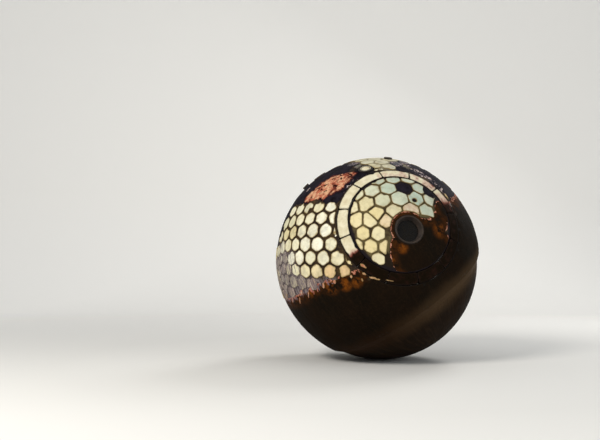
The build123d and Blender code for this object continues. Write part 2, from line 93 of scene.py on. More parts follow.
# Worn surfaces: how far they start under the plain ones, the crust's least and greatest
# height, and how near a point has to be to count as on a plate's top or on the bare shield
under_plain = 0.0004
crust_range = (0.0006, 0.0076)
top_slack = 0.0002
bare_slack = 0.0004

# Tiles: how uneven their tops are, the reach above which one gets bites, the degrees from an
# edge within which they are torn, the distance from a hatch seat beyond which their gaps are
# wide, and how much wider
top_spread = 0.0014
bitten_reach = 0.06
torn_within = 7
seat_border = 0.1
wide_gap = 0.0025

# Colatitudes between which the shield takes on the colour of its worn band, whose paleness is partly a painted
# highlight
band_fade = (110, 118.5)

# Portholes
porthole_turn = radians(-11.3)
porthole_tilt = radians(6.5)
porthole_recess = 0.156
bezel_flange = 0.151
bezel_mouth = 0.138
bezel_bore = 0.112
bezel_foot = 1.078
bezel_top = 1.146
side_porthole = (90, 160)

# Cabin: air bottles (colatitude, middle longitude, pitch, count), and the dials
bottle_row = (104, 283, 12.5, 4)
bottle_radius = 0.085
bottle_level = 0.930
dial_depth = 0.014

# Small fittings: colatitude, longitude, radius, height
fittings = {
    "pole_lock": (0, 0, 0.075, 0.010),
    "vent_valve": (33.3, 21, 0.080, 0.010),
    "crown_fitting": (40.2, 57.2, 0.045, 0.026),
    "side_fitting": (10.1, 227.3, 0.040, 0.026),
}

# Cover: turn of its tile rows, and its scorched patches (right, up, radius)
cover_turn = radians(52.5)
cover_patches = (
    (0.230, -0.385, 0.400), (0.058, -0.118, 0.200), (0.560, 0.150, 0.150),
    (0.400, 0.400, 0.075), (0.079, 0.407, 0.078), (0.440, -0.010, 0.130),
)
cover_edge_patches = ((-0.230, -0.500, 0.130), (0.520, 0.260, 0.120))
cover_dark_patches = ((0.079, 0.407, 0.110), (0.400, 0.400, 0.100), (0.160, 0.223, 0.034))
cover_hole = (0.160, 0.223, 0.027)

# Edge of the tiled part: longitude, colatitude
char_edge = (
    (0, 64), (13, 78), (49, 83), (103, 86), (160, 82), (205, 78),
    (250, 77), (300, 74.5), (316, 77), (336, 83), (350, 77), (360, 64),
)

# Patches where the tiles are gone: colatitude, longitude, angular radius
bare_patches = (
    (23, 327, 8), (27, 350, 9.5), (34, 4, 8), (34, 338, 8.6), (10, 330, 19.5), (32.1, 228.5, 22),
    (50, 38, 5), (58, 42, 5.5), (70, 41, 5), (62, 54, 12.4), (78, 50, 12),
)

# Zones of colour: colatitude, longitude, inner and outer angle
salmon_zone = (
    (24, 308, 2, 7), (24.5, 318, 4, 9), (25, 330, 6, 11.5),
    (26, 342, 6.5, 12), (27, 354, 4, 9), (28.5, 6, 1.5, 6),
)
vent_zone = ((33.3, 21, 5.8, 6.8),)
flank_zone = ((67, 266, 14, 25), (72, 285, 6, 10), (75.5, 297, 3.5, 7), (76.5, 307, 1.5, 5))
dusk_zone = ((21.5, 31, 4, 7), (27, 20.5, 1.5, 4.5), (50, 49, 5.5, 8.5))
blush_zone = ((52, 14, 5, 12), (58, 27, 5, 12), (69, 30, 5, 12), (79, 27, 4, 9))
crown_zone = ((39, 42, 6, 12.5), (38, 60, 10, 20))
peel_zone = (
    (53, 46, 3, 7), (57, 43, 3, 7), (62, 42, 3, 8), (67, 41, 3, 8), (72, 39, 3, 8), (77, 37, 3, 7),
    (82, 35, 1, 6), (37, 352, 1, 4.5), (39.5, 345, 1, 4), (35.5, 0.5, 1, 4), (13.5, 290, 1, 5),
)
rust_zone = ((79.5, 306, 1.5, 6), (82, 314, 1.5, 5), (84, 320, 1, 4.5), (76.5, 292, 1, 5))
cover_rust_zone = ((83, 349.3, 0.8, 4), (85.1, 340.2, 0.8, 3.6), (88, 13, 1, 6))
# Where the worn band is painted palest, as a highlight on its lit right side
band_highlight_zone = ((119, 22, 15, 60),)
# Lit left side, whose tiles are painted whiter and less warm as a highlight
lit_side_zone = ((66, 316, 18, 36),)
back_zone = ((40, 130, 40, 80),)

# Torn bits of tile on the char: colatitude, longitude, length, width, turn, redness
torn_bits = (
    (78.9, 327.4, 0.085, 0.034, 32, 0.9),
    (82.5, 325.5, 0.050, 0.024, 20, 0.8),
    (86.7, 328.2, 0.090, 0.026, 12, 0.45),
    (88.7, 329.8, 0.045, 0.020, 5, 0.6),
    (92.6, 334.4, 0.095, 0.013, 10, 0.5),
    (84.6, 323, 0.040, 0.020, 60, 0.9),
    (80.2, 319, 0.040, 0.028, 80, 0.6),
    (78.3, 309.4, 0.050, 0.030, 75, 0.7),
    (77.2, 302.2, 0.060, 0.026, 80, 0.9),
    (76.4, 293.2, 0.060, 0.034, 70, 0.8),
    (75.6, 284.7, 0.070, 0.030, 85, 0.7),
    (77.7, 271.6, 0.080, 0.036, 75, 0.5),
    (76.6, 275.5, 0.060, 0.030, 60, 0.5),
    (75.4, 283.5, 0.080, 0.018, 82, 1),
    (77.8, 289.5, 0.090, 0.016, 86, 1),
    (79.4, 279.5, 0.090, 0.016, 84, 0.7),
    (77.4, 297.5, 0.070, 0.015, 80, 0.9),
    (78.2, 294, 0.050, 0.014, 88, 1),
)


# The ball's centre is where the axes of the entry and recovery hatches meet
hatch_mounts = [mounts["entry_frame_studs"], mounts["recovery_frame_studs"]]
first, second = (Vector(mount["pos_m"]) for mount in hatch_mounts)
along, other = (Vector(mount["axis"]) for mount in hatch_mounts)
centre = first - along * ((first - second).length / (along - other).length)
service_axis = Vector(frame["joints"][0]["axis"]).normalized()
entry_axis, recovery_axis = along.normalized(), other.normalized()
hatch_axes = (service_axis, entry_axis, recovery_axis)
cosines = Vector([cos(radians(angle)) for angle in hatch_colatitudes])
leeward = (Matrix(hatch_axes).inverted() @ cosines).normalized()
prime = (service_axis - leeward * service_axis.dot(leeward)).normalized()
quarter = leeward.cross(prime)


def toward(colatitude, longitude):
    """Direction of a place on the ball."""
    t, f = radians(colatitude), radians(longitude)
    return prime * (sin(t) * cos(f)) + quarter * (sin(t) * sin(f)) + leeward * cos(t)


def where(direction):
    """Colatitude and longitude of a direction, in degrees."""
    colatitude = degrees(acos(max(-1, min(1, direction.dot(leeward)))))
    return colatitude, degrees(atan2(direction.dot(quarter), direction.dot(prime))) % 360


def step(low, high, value):
    """Smooth rise from 0 at low to 1 at high."""
    t = max(0, min(1, (value - low) / (high - low)))
    return t * t * (3 - 2 * t)


def rough(point, scale, octaves=4):
    """Fractal noise about 0 at a point."""
    return noise.fractal(point * scale, 1, 2, octaves)


def char_depth(direction):
    """Degrees past the char edge, less than nothing where tiles are."""
    colatitude, longitude = where(direction)
    for (west, low), (east, high) in zip(char_edge, char_edge[1:]):
        if longitude <= east:
            return colatitude - (low + (high - low) * (longitude - west) / (east - west))


def patch_depth(direction):
    """Degrees inside the nearest bare patch."""
    return max(r - degrees(direction.angle(toward(c, l))) for c, l, r in bare_patches)


def zone(direction, rows):
    """1 inside a zone's rows, falling to 0 at their outer angles."""
    return max(1 - step(near, far, degrees(direction.angle(toward(c, l)))) for c, l, near, far in rows)


cover_colatitude = radians(hatch_colatitudes[0])
cover_south = prime * cos(cover_colatitude) - leeward * sin(cover_colatitude)
cover_east = service_axis.cross(cover_south)
cover_right = cover_south * cos(cover_turn) + cover_east * sin(cover_turn)
cover_up = cover_east * cos(cover_turn) - cover_south * sin(cover_turn)
porthole_side = cover_south * cos(porthole_turn) + cover_east * sin(porthole_turn)
porthole_axis = service_axis * cos(porthole_tilt) + porthole_side * sin(porthole_tilt)


def cover_place(direction):
    """Place on the cover along its tile rows, on the plane that touches the ball."""
    reach = tile_radius / direction.dot(service_axis)
    return direction.dot(cover_right) * reach, direction.dot(cover_up) * reach


def on_cover(x, y):
    """Direction of a place on the cover."""
    return (service_axis * tile_radius + cover_right * x + cover_up * y).normalized()


def cover_depth(direction):
    """Metres inside the scorched part of the cover."""
    x, y = cover_place(direction)
    return max(r - sqrt((x - u) ** 2 + (y - v) ** 2) for u, v, r in cover_patches)


def cover_zone(patches, within, beyond):
    """Zone of colour from patches on the cover, with degrees within and beyond their edges."""
    rows = [(*where(on_cover(x, y)), degrees(r / tile_radius)) for x, y, r in patches]
    return [(c, l, reach - within, reach + beyond) for c, l, reach in rows]


# Materials


def tint(red, green, blue):
    """Linear colour from one as written in a paint program."""
    def linear(value):
        value /= 255
        return value / 12.92 if value <= 0.04045 else ((value + 0.055) / 1.055) ** 2.4
    return linear(red), linear(green), linear(blue), 1


class Nodes:
    """Shader nodes, added call by call. A name given as a value is a layer that the mesh carries."""

    def __init__(self, tree):
        self.tree = tree
        self.spot = self.node("TexCoord").outputs["Object"]

    def node(self, kind, inputs=(), **settings):
        """New node with its settings, and its sockets by name or number."""
        made = self.tree.nodes.new("ShaderNode" + kind)
        for key, value in settings.items():
            setattr(made, key, value)
        for key, value in dict(inputs).items():
            self.feed(made.inputs[key], value)
        return made

    def feed(self, socket, value):
        """Links a socket, or sets it."""
        if isinstance(value, str):
            value = self.node("Attribute", attribute_name=value).outputs["Fac"]
        if isinstance(value, bpy.types.NodeSocket):
            self.tree.links.new(value, socket)
        else:
            socket.default_value = value

    def calc(self, operation, first, second=0):
        """One sum."""
        return self.node("Math", {0: first, 1: second}, operation=operation).outputs[0]

    def times(self, first, second):
        """Product."""
        return self.calc("MULTIPLY", first, second)

    def plus(self, first, second):
        """Sum."""
        return self.calc("ADD", first, second)

    def vector(self, operation, first, second=(0, 0, 0)):
        """One vector sum."""
        result = "Value" if operation in ("LENGTH", "DOT_PRODUCT") else "Vector"
        return self.node("VectorMath", {0: first, 1: second}, operation=operation).outputs[result]

    def seen(self):
        """1 where the camera looks, also in mirrors and through glass."""
        rays = self.node("LightPath").outputs
        mirrored = self.calc("MAXIMUM", rays["Is Glossy Ray"], rays["Is Transmission Ray"])
        return self.calc("MAXIMUM", rays["Is Camera Ray"], mirrored)


class Paint(Nodes):
    """One procedural material, whose colour is built up coat by coat. Its noise runs from
    about 0.3 to 0.7."""

    def __init__(self, name, **fixed):
        self.material = bpy.data.materials.new(name)
        self.material.use_nodes = True
        super().__init__(self.material.node_tree)
        self.shader = self.tree.nodes["Principled BSDF"]
        for socket, value in fixed.items():
            self.shader.inputs[socket.replace("_", " ")].default_value = value
        self.arm = self.vector("NORMALIZE", self.vector("SUBTRACT", self.spot, centre))

    def noise(self, scale, detail=4, roughness=0.55, distortion=0, spot=None):
        """Fractal noise."""
        inputs = {"Vector": spot or self.spot, "Scale": scale, "Detail": detail,
                  "Roughness": roughness, "Distortion": distortion}
        return self.node("TexNoise", inputs).outputs["Fac"]

    def cells(self, scale):
        """Distance to the edges of a cell pattern."""
        inputs = {"Vector": self.spot, "Scale": scale}
        return self.node("TexVoronoi", inputs, feature="DISTANCE_TO_EDGE").outputs["Distance"]

    def span(self, value, low, high, start=0, end=1):
        """Value stretched from one range to another, and held there."""
        inputs = {"Value": value, "From Min": low, "From Max": high, "To Min": start, "To Max": end}
        return self.node("MapRange", inputs, clamp=True).outputs["Result"]

    def patchy(self, layer, pattern):
        """Layer broken up by a pattern, to nothing where the layer is 0."""
        return self.plus(self.times(layer, 1.6), self.span(pattern, 0.3, 0.7, -1.5, 0))

    def along(self, axis):
        """Cosine of the angle between an axis and the direction from the ball's centre."""
        return self.vector("DOT_PRODUCT", self.arm, axis)

    def zone(self, rows):
        """1 inside a zone's rows, falling to 0 at their outer angles."""
        value = 0
        for c, l, near, far in rows:
            inside_row = self.span(self.along(toward(c, l)), cos(radians(far)), cos(radians(near)))
            value = self.calc("MAXIMUM", inside_row, value)
        return value

    def flow(self, crosswise, lengthwise, *shape):
        """Noise stretched along the lines from the windward pole."""
        x, y, z = (self.along(axis) for axis in (prime, quarter, leeward))
        turn = self.calc("ARCTAN2", y, x)
        inputs = {0: self.times(self.calc("SINE", turn), crosswise),
                  1: self.times(self.calc("COSINE", turn), crosswise),
                  2: self.times(self.calc("ARCCOSINE", z), lengthwise)}
        return self.noise(1, *shape, self.node("CombineXYZ", inputs).outputs[0])

    def mix(self, factor, first, second):
        """Colour between two, each a triple or the result of a node."""
        first, second = (tint(*c) if isinstance(c, tuple) else c for c in (first, second))
        inputs = {0: factor, 6: first, 7: second}
        return self.node("Mix", inputs, data_type="RGBA", blend_type="MIX").outputs[2]

    def blend(self, value, low, high, first, second):
        """Colour between two as a value rises."""
        return self.mix(self.span(value, low, high), first, second)

    def over(self, factor, colour):
        """Lays a colour over what is there."""
        self.colour = self.mix(factor, self.colour, colour)

    def rise(self, value, *rows):
        """Lays colours over what is there as a value rises: low, high, share and colour."""
        for low, high, share, *colour in rows:
            self.over(self.span(value, low, high, 0, share), tuple(colour))

    def finish(self, wear=None, relief=None):
        """Joins the results to the shader: wear is a noise and the roughness at its ends,
        relief a height, its depth and its strength."""
        self.feed(self.shader.inputs["Base Color"], self.colour)
        if wear:
            self.feed(self.shader.inputs["Roughness"], self.span(wear[0], 0.3, 0.7, *wear[1:]))
        if relief:
            bump = self.node("Bump", zip(("Height", "Distance", "Strength"), relief))
            self.feed(self.shader.inputs["Normal"], bump.outputs["Normal"])
        return self.material


def band_and_highlight_tint(paint):
    """Colour of the worn band round the cap: dark worn char, with a painted highlight that makes it palest at the
    right.
    """
    return paint.mix(paint.zone(band_highlight_zone), (43, 26, 11), (72, 55, 36))


def char_paint():
    """Charred crust: near black, rusty under the tiles, salmon and navy where bare."""
    paint = Paint("charred_shield", Specular_IOR_Level=0.05)
    broad = paint.noise(3, 5)
    fine = paint.noise(42, 6, 0.65)
    soft = paint.noise(12, 4, 0.6, 0.2)
    flow = paint.flow(34, 7, 5, 0.6, 0.3)
    paint.colour = paint.blend(broad, 0.35, 0.65, (15, 10, 4), (25, 16, 8))
    paint.rise(flow, (0.5, 0.75, 0.5, 37, 25, 12))
    paint.rise(fine, (0.5, 0.75, 0.35, 48, 33, 19))
    rust = paint.times("rust", paint.span(soft, 0.38, 0.55))
    paint.over(rust, paint.blend(fine, 0.35, 0.65, (122, 66, 14), (84, 44, 12)))
    paint.over("navy", paint.blend(soft, 0.4, 0.6, (15, 11, 17), (33, 29, 37)))
    mask = paint.patchy("salmon", paint.noise(13, 6, 0.7, 0.2))
    paint.rise(mask, (0.1, 0.4, 1, 92, 36, 28))
    flesh = paint.blend(paint.noise(17, 4, 0.6), 0.42, 0.58, (182, 100, 74), (218, 172, 134))
    flesh = paint.mix(paint.span(fine, 0.5, 0.7, 0, 0.6), flesh, (160, 84, 62))
    paint.over(paint.span(mask, 0.42, 0.8), flesh)
    pits = paint.span(paint.noise(15, 3, 0.5), 0.57, 0.62)
    paint.over(paint.times(paint.span(mask, 0.1, 0.5), pits), (44, 18, 16))
    flakes = paint.patchy("peel", paint.noise(20, 5, 0.65, 0.5))
    paint.rise(flakes, (0.88, 1, 1, 104, 88, 94), (1.02, 1.1, 1, 196, 178, 170))
    ash = paint.patchy("ash", paint.flow(48, 8, 6, 0.7, 0.4))
    paint.rise(ash, (0.3, 0.7, 1, 116, 100, 106), (0.85, 1.1, 1, 168, 132, 124),
               (1.15, 1.3, 1, 206, 186, 168))
    torn_edge = paint.patchy("fringe", paint.noise(34, 5, 0.6, 0.4))
    pink = paint.blend(fine, 0.4, 0.6, (158, 78, 60), (206, 150, 122))
    paint.over(paint.span(torn_edge, 0.7, 0.85), pink)
    # Worn band, with its painted highlight
    paint.over(paint.times("band", 0.7), band_and_highlight_tint(paint))
    cracks = paint.span(paint.cells(26), 0, 0.05)
    height = paint.times(fine, 0.6)
    for part, share in ((paint.noise(260, 3, 0.7), 0.15), (cracks, 0.12), (flow, 0.5)):
        height = paint.plus(height, paint.times(part, share))
    return paint.finish((broad, 0.7, 0.95), (height, 0.004, 0.7))


def bond_paint(name, on_cover=False):
    """Surface between and under the tiles: dark bond, dusty on the crown, ashen on the flank."""
    paint = Paint(name, Specular_IOR_Level=0.15)
    soft = paint.noise(11, 5, 0.6)
    fine = paint.noise(70, 5, 0.6)
    if on_cover:
        yellow = paint.blend(soft, 0.35, 0.6, (58, 47, 31), (110, 97, 64))
        scorched = paint.blend(fine, 0.3, 0.7, (20, 13, 6), (40, 28, 16))
        burnt = paint.zone(cover_zone(cover_patches + cover_edge_patches, 1.5, 0.5))
        paint.colour = paint.mix(burnt, yellow, scorched)
        outer = paint.span(paint.along(service_axis), cos(radians(27)), cos(radians(25.8)), 1, 0)
        dark = paint.calc("MAXIMUM", paint.zone(cover_zone(cover_dark_patches, 1, 0)), outer)
        paint.over(dark, (24, 17, 20))
    else:
        tiled = paint.span(paint.along(leeward), cos(radians(92)), cos(radians(80)))
        bond = paint.blend(soft, 0.38, 0.6, (30, 22, 22), (62, 46, 26))
        paint.colour = paint.mix(tiled, (18, 12, 6), bond)
        paint.over(paint.times(tiled, paint.span(fine, 0.5, 0.7, 0, 0.5)), (96, 80, 48))
    dust = paint.times(paint.zone(crown_zone), paint.span(fine, 0.3, 0.6, 0.6, 1))
    paint.over(dust, (162, 152, 126))
    paint.over(paint.zone(vent_zone), (20, 15, 14))
    streaks = paint.flow(56, 9, 6, 0.7, 0.3)
    ash = paint.times(paint.zone(flank_zone), paint.span(fine, 0.4, 0.6, 0.5, 1))
    paint.over(ash, paint.blend(streaks, 0.42, 0.58, (78, 66, 76), (146, 134, 132)))
    # Worn band near the cap, with its painted highlight
    start, end = band_fade
    banded = paint.span(paint.along(leeward), cos(radians(end)), cos(radians(start)), 0.7, 0)
    paint.over(banded, band_and_highlight_tint(paint))
    return paint.finish((fine, 0.75, 0.95), (fine, 0.003, 0.6))


def cap_paint():
    """Worn windward cap: dark, with a paler worn band near its edge, partly a painted highlight, and flow streaks.
    """
    paint = Paint("worn_cap", Specular_IOR_Level=0.06)
    broad = paint.noise(2.2, 5)
    fine = paint.noise(60, 6, 0.6)
    flow = paint.flow(26, 4, 5, 0.6, 0.3)
    paint.colour = paint.blend(broad, 0.35, 0.65, (17, 10, 4), (29, 19, 10))
    paint.rise(flow, (0.48, 0.7, 0.6, 50, 35, 21))
    # Paler worn band near the edge, partly a painted highlight
    paint.over(paint.times("bevel", paint.span(fine, 0.3, 0.6, 0.7, 1)), band_and_highlight_tint(paint))
    return paint.finish((broad, 0.65, 0.9), (paint.plus(fine, paint.times(flow, 0.8)), 0.003, 0.6))


def tile_paint():
    """Cream tile, browned at its rim, with each tile's own tone and scorching, and light and shade painted into
    its tone and tint.
    """
    paint = Paint("heat_tile", Specular_IOR_Level=0.3)
    blotch = paint.noise(24, 5, 0.6, 0.3)
    broad = paint.noise(8, 4, 0.6)
    # Tone: each tile's own, raised as a painted highlight on the lit left side and lowered as painted shade on the
    # cover's upper part
    paint.colour = paint.mix("tone", (214, 208, 172), (252, 250, 232))
    paint.rise(broad, (0.45, 0.65, 0.3, 230, 220, 172))
    # Cool tint: painted shade on the cover's upper part, and a cool tone on the back and crown
    paint.over(paint.times("cool", paint.span(broad, 0.35, 0.6, 0.6, 1)), (164, 192, 180))
    paint.over("warm", (230, 208, 142))
    paint.over("singe", (222, 160, 116))
    dust = paint.times(paint.zone(crown_zone), 0.8)
    paint.over(dust, (198, 189, 160))
    paint.rise(blotch, (0.5, 0.7, 0.3, 168, 150, 104))
    ash = paint.patchy("ash", paint.flow(56, 9, 6, 0.7, 0.3))
    paint.rise(ash, (0.25, 0.6, 0.9, 148, 138, 134), (0.72, 1, 0.9, 88, 74, 84),
               (1.08, 1.2, 0.8, 196, 180, 162))
    paint.over(paint.times("red", paint.span(blotch, 0.3, 0.55)), (190, 92, 74))
    # Soot, and on the cover's upper part painted shade
    sooty = paint.span(paint.noise(9, 5, 0.6, 0.4), 0.42, 0.66)
    paint.over(paint.times("soot", sooty), (92, 82, 66))
    veiled = paint.calc("MAXIMUM", paint.times(dust, 0.9), paint.times("ash", 0.7))
    rim = paint.plus("rim", paint.span(blotch, 0.3, 0.7, -0.14, 0.14))
    rim = paint.times(rim, paint.calc("SUBTRACT", 1, veiled))
    paint.rise(rim, (0.22, 0.62, 1, 150, 126, 74), (0.6, 0.9, 1, 40, 29, 17))
    paint.over("dusk", (30, 25, 33))
    flecks = paint.patchy("dusk", paint.noise(24, 5, 0.65, 0.5))
    paint.rise(flecks, (1, 1.1, 1, 150, 132, 130))
    height = paint.plus(paint.times(blotch, 0.7), paint.times(paint.noise(330, 3, 0.7), 0.12))
    return paint.finish((blotch, 0.6, 0.85), (height, 0.003, 0.5))


def ring_paint():
    """Ring blocks: cream, tan where they were heated and dark red-brown where burnt."""
    paint = Paint("ring_block", Specular_IOR_Level=0.04)
    blotch = paint.noise(14, 5, 0.6, 0.3)
    fine = paint.noise(90, 5, 0.65)
    paint.colour = paint.blend(blotch, 0.35, 0.65, (232, 224, 196), (210, 198, 162))
    burn = paint.plus("burn", paint.span(blotch, 0.3, 0.7, -0.2, 0.2))
    paint.rise(burn, (0.12, 0.38, 1, 206, 178, 156), (0.38, 0.58, 1, 128, 74, 62),
               (0.58, 0.8, 1, 38, 19, 11), (0.8, 1, 1, 20, 12, 4))
    rim = paint.plus("rim", paint.span(fine, 0.3, 0.7, -0.15, 0.15))
    paint.rise(rim, (0.35, 0.95, 1, 34, 25, 20))
    return paint.finish((blotch, 0.65, 0.9), (fine, 0.002, 0.5))


def metal_paint(name, light, dark, roughness, metallic=0.85, soot=0.5):
    """Machined or sheet metal with stains and soot."""
    paint = Paint(name, Metallic=metallic)
    fine = paint.noise(140, 4, 0.6)
    paint.colour = paint.blend(paint.noise(5, 5, 0.6, 0.4), 0.35, 0.65, light, dark)
    paint.rise(paint.noise(11, 6, 0.7, 0.6), (0.5, 0.7, soot, 44, 36, 28))
    return paint.finish((fine, roughness - 0.08, roughness + 0.14), (fine, 0.0006, 0.5))


def sheet_paint(name, light, dark, roughness=0.45):
    """Painted sheet with scuffs."""
    paint = Paint(name)
    fine = paint.noise(160, 4, 0.6)
    paint.colour = paint.blend(paint.noise(7, 5), 0.35, 0.65, light, dark)
    paint.rise(paint.noise(30, 6, 0.75, 1), (0.62, 0.7, 0.6, 120, 116, 108))
    return paint.finish((fine, roughness - 0.06, roughness + 0.12), (fine, 0.0008, 0.5))


def glass_paint():
    """Thick quartz pane with a sooty film."""
    paint = Paint("quartz_pane", IOR=1.46, Transmission_Weight=0.2, Specular_IOR_Level=0.06)
    film = paint.noise(14, 6, 0.65, 0.4)
    paint.colour = paint.blend(film, 0.38, 0.6, (24, 19, 10), (11, 8, 4))
    paint.feed(paint.shader.inputs["Roughness"], paint.span(film, 0.35, 0.7, 0.06, 0.5))
    return paint.finish()


def globe_paint():
    """Panel globe: blue and brown patches, mottled with a paler tone."""
    paint = Paint("panel_globe", Specular_IOR_Level=0.5)
    blotch = paint.noise(16, 4, 0.55)
    paint.colour = paint.blend(blotch, 0.5, 0.53, (62, 116, 150), (132, 122, 78))
    paint.rise(paint.noise(60), (0.4, 0.7, 0.4, 158, 168, 160))
    return paint.finish((blotch, 0.15, 0.3))


def collar_paint():
    """Scorched collar, its lip and edges painted paler as a highlight."""
    paint = Paint("scorched_collar", Specular_IOR_Level=0.3)
    fine = paint.noise(90, 5, 0.6)
    soft = paint.noise(16, 5, 0.6)
    paint.colour = paint.blend(soft, 0.35, 0.65, (20, 13, 7), (36, 24, 14))
    # Painted highlight on the lip and edges
    paint.over(paint.times("lip", paint.span(soft, 0.36, 0.58, 0.25, 1)), (70, 57, 46))
    return paint.finish((fine, 0.5, 0.75), (fine, 0.0015, 0.5))


# Pieces


def new_object(name, data):
    """Object in the scene."""
    made = bpy.data.objects.new(name, data)
    bpy.context.scene.collection.objects.link(made)
    return made


def smooth_object(name, points, faces, paint):
    """Smooth mesh in the scene."""
    mesh = bpy.data.meshes.new(name)
    mesh.from_pydata([tuple(point) for point in points], [], faces)
    mesh.polygons.foreach_set("use_smooth", [True] * len(mesh.polygons))
    mesh.materials.append(paint)
    return new_object(name, mesh)


def make_piece(name, points, faces, body, paint, replaces=(), layers=()):
    """Piece of the capsule, with the values that its material reads."""
    piece = smooth_object(name, points, faces, paint)
    for key, values in dict(layers).items():
        piece.data.attributes.new(key, "FLOAT", "POINT").data.foreach_set("value", values)
    piece.data.validate()
    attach(piece, body)
    if replaces:
        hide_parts(*replaces)
    return piece


def band(low, high, count):
    """Faces between two closed rows of points, given by their first numbers."""
    return [[low + k, low + (k + 1) % count, high + (k + 1) % count, high + k] for k in range(count)]


def ends(first, last, count):
    """Faces that close a first and a last row of points."""
    return [list(range(first, first + count))[::-1], list(range(last, last + count))]


def loose_parts(node):
    """Welded copy of a node's mesh and the faces of each loose part of it."""
    made = bmesh.new()
    made.from_mesh(nodes[node].data)
    bmesh.ops.remove_doubles(made, verts=made.verts, dist=1e-5)
    made.faces.ensure_lookup_table()
    made.faces.index_update()
    seen = set()
    parts = []
    for first in made.faces:
        if first.index in seen:
            continue
        seen.add(first.index)
        part = [first]
        for face in part:
            for other in (f for edge in face.edges for f in edge.link_faces):
                if other.index not in seen:
                    seen.add(other.index)
                    part.append(other)
        parts.append(part)
    return made, parts


def top_loops(part, radius):
    """Closed loops of points round the faces of a part that lie on a sphere."""
    def on_top(face):
        return all(abs((vert.co - centre).length - radius) < top_slack for vert in face.verts)
    top = [face for face in part if on_top(face)]
    known = {face.index for face in top}
    after = {}
    for face in top:
        for corner in face.loops:
            if not any(f.index in known and f is not face for f in corner.edge.link_faces):
                after[corner.vert.index] = (corner.vert.co.copy(), corner.link_loop_next.vert.index)
    loops = []
    while after:
        start = min(after)
        loop, current = [], start
        while current in after:
            point, current = after.pop(current)
            loop.append(point)
        if current == start and len(loop) > 2:
            loops.append(loop)
    return loops


def resampled(loop, pitch):
    """Closed polyline with evenly spaced points."""
    points = np.array(loop + [loop[0]])
    reach = np.concatenate([[0], np.cumsum(np.linalg.norm(np.diff(points, axis=0), axis=1))])
    count = max(12, int(round(reach[-1] / pitch)))
    marks = np.linspace(0, reach[-1], count, endpoint=False)
    return np.stack([np.interp(marks, reach, points[:, k]) for k in range(2)], axis=1)


def relaxed(points, rounds):
    """Closed polyline with its corners rounded."""
    for _ in range(rounds):
        points = 0.5 * points + 0.25 * (np.roll(points, 1, axis=0) + np.roll(points, -1, axis=0))
    return points


def inward(points, distance):
    """Closed polyline moved to its left, which is inside."""
    along = np.roll(points, -1, axis=0) - np.roll(points, 1, axis=0)
    along /= np.maximum(np.linalg.norm(along, axis=1, keepdims=True), 1e-9)
    side = np.stack([-along[:, 1], along[:, 0]], axis=1)
    return points + np.reshape(distance, (-1, 1)) * side


def inside(point, loops):
    """Whether a point is within loops, counting holes."""
    x, y = point
    odd = False
    for loop in loops:
        x0, y0 = loop[:, 0], loop[:, 1]
        x1, y1 = np.roll(x0, -1), np.roll(y0, -1)
        crossing = (y0 > y) != (y1 > y)
        at = x0 + (y - y0) * (x1 - x0) / np.where(y1 == y0, 1, y1 - y0)
        odd ^= bool(np.count_nonzero(crossing & (x < at)) % 2)
    return odd


# Rim of a plate, from its foot to its top: how far in, share of the depth, rim value
plate_steps = (
    (0, 1, 1),
    (0, 0.46, 1),
    (0.0018, 0.18, 0.85),
    (0.0050, 0.06, 0.55),
)


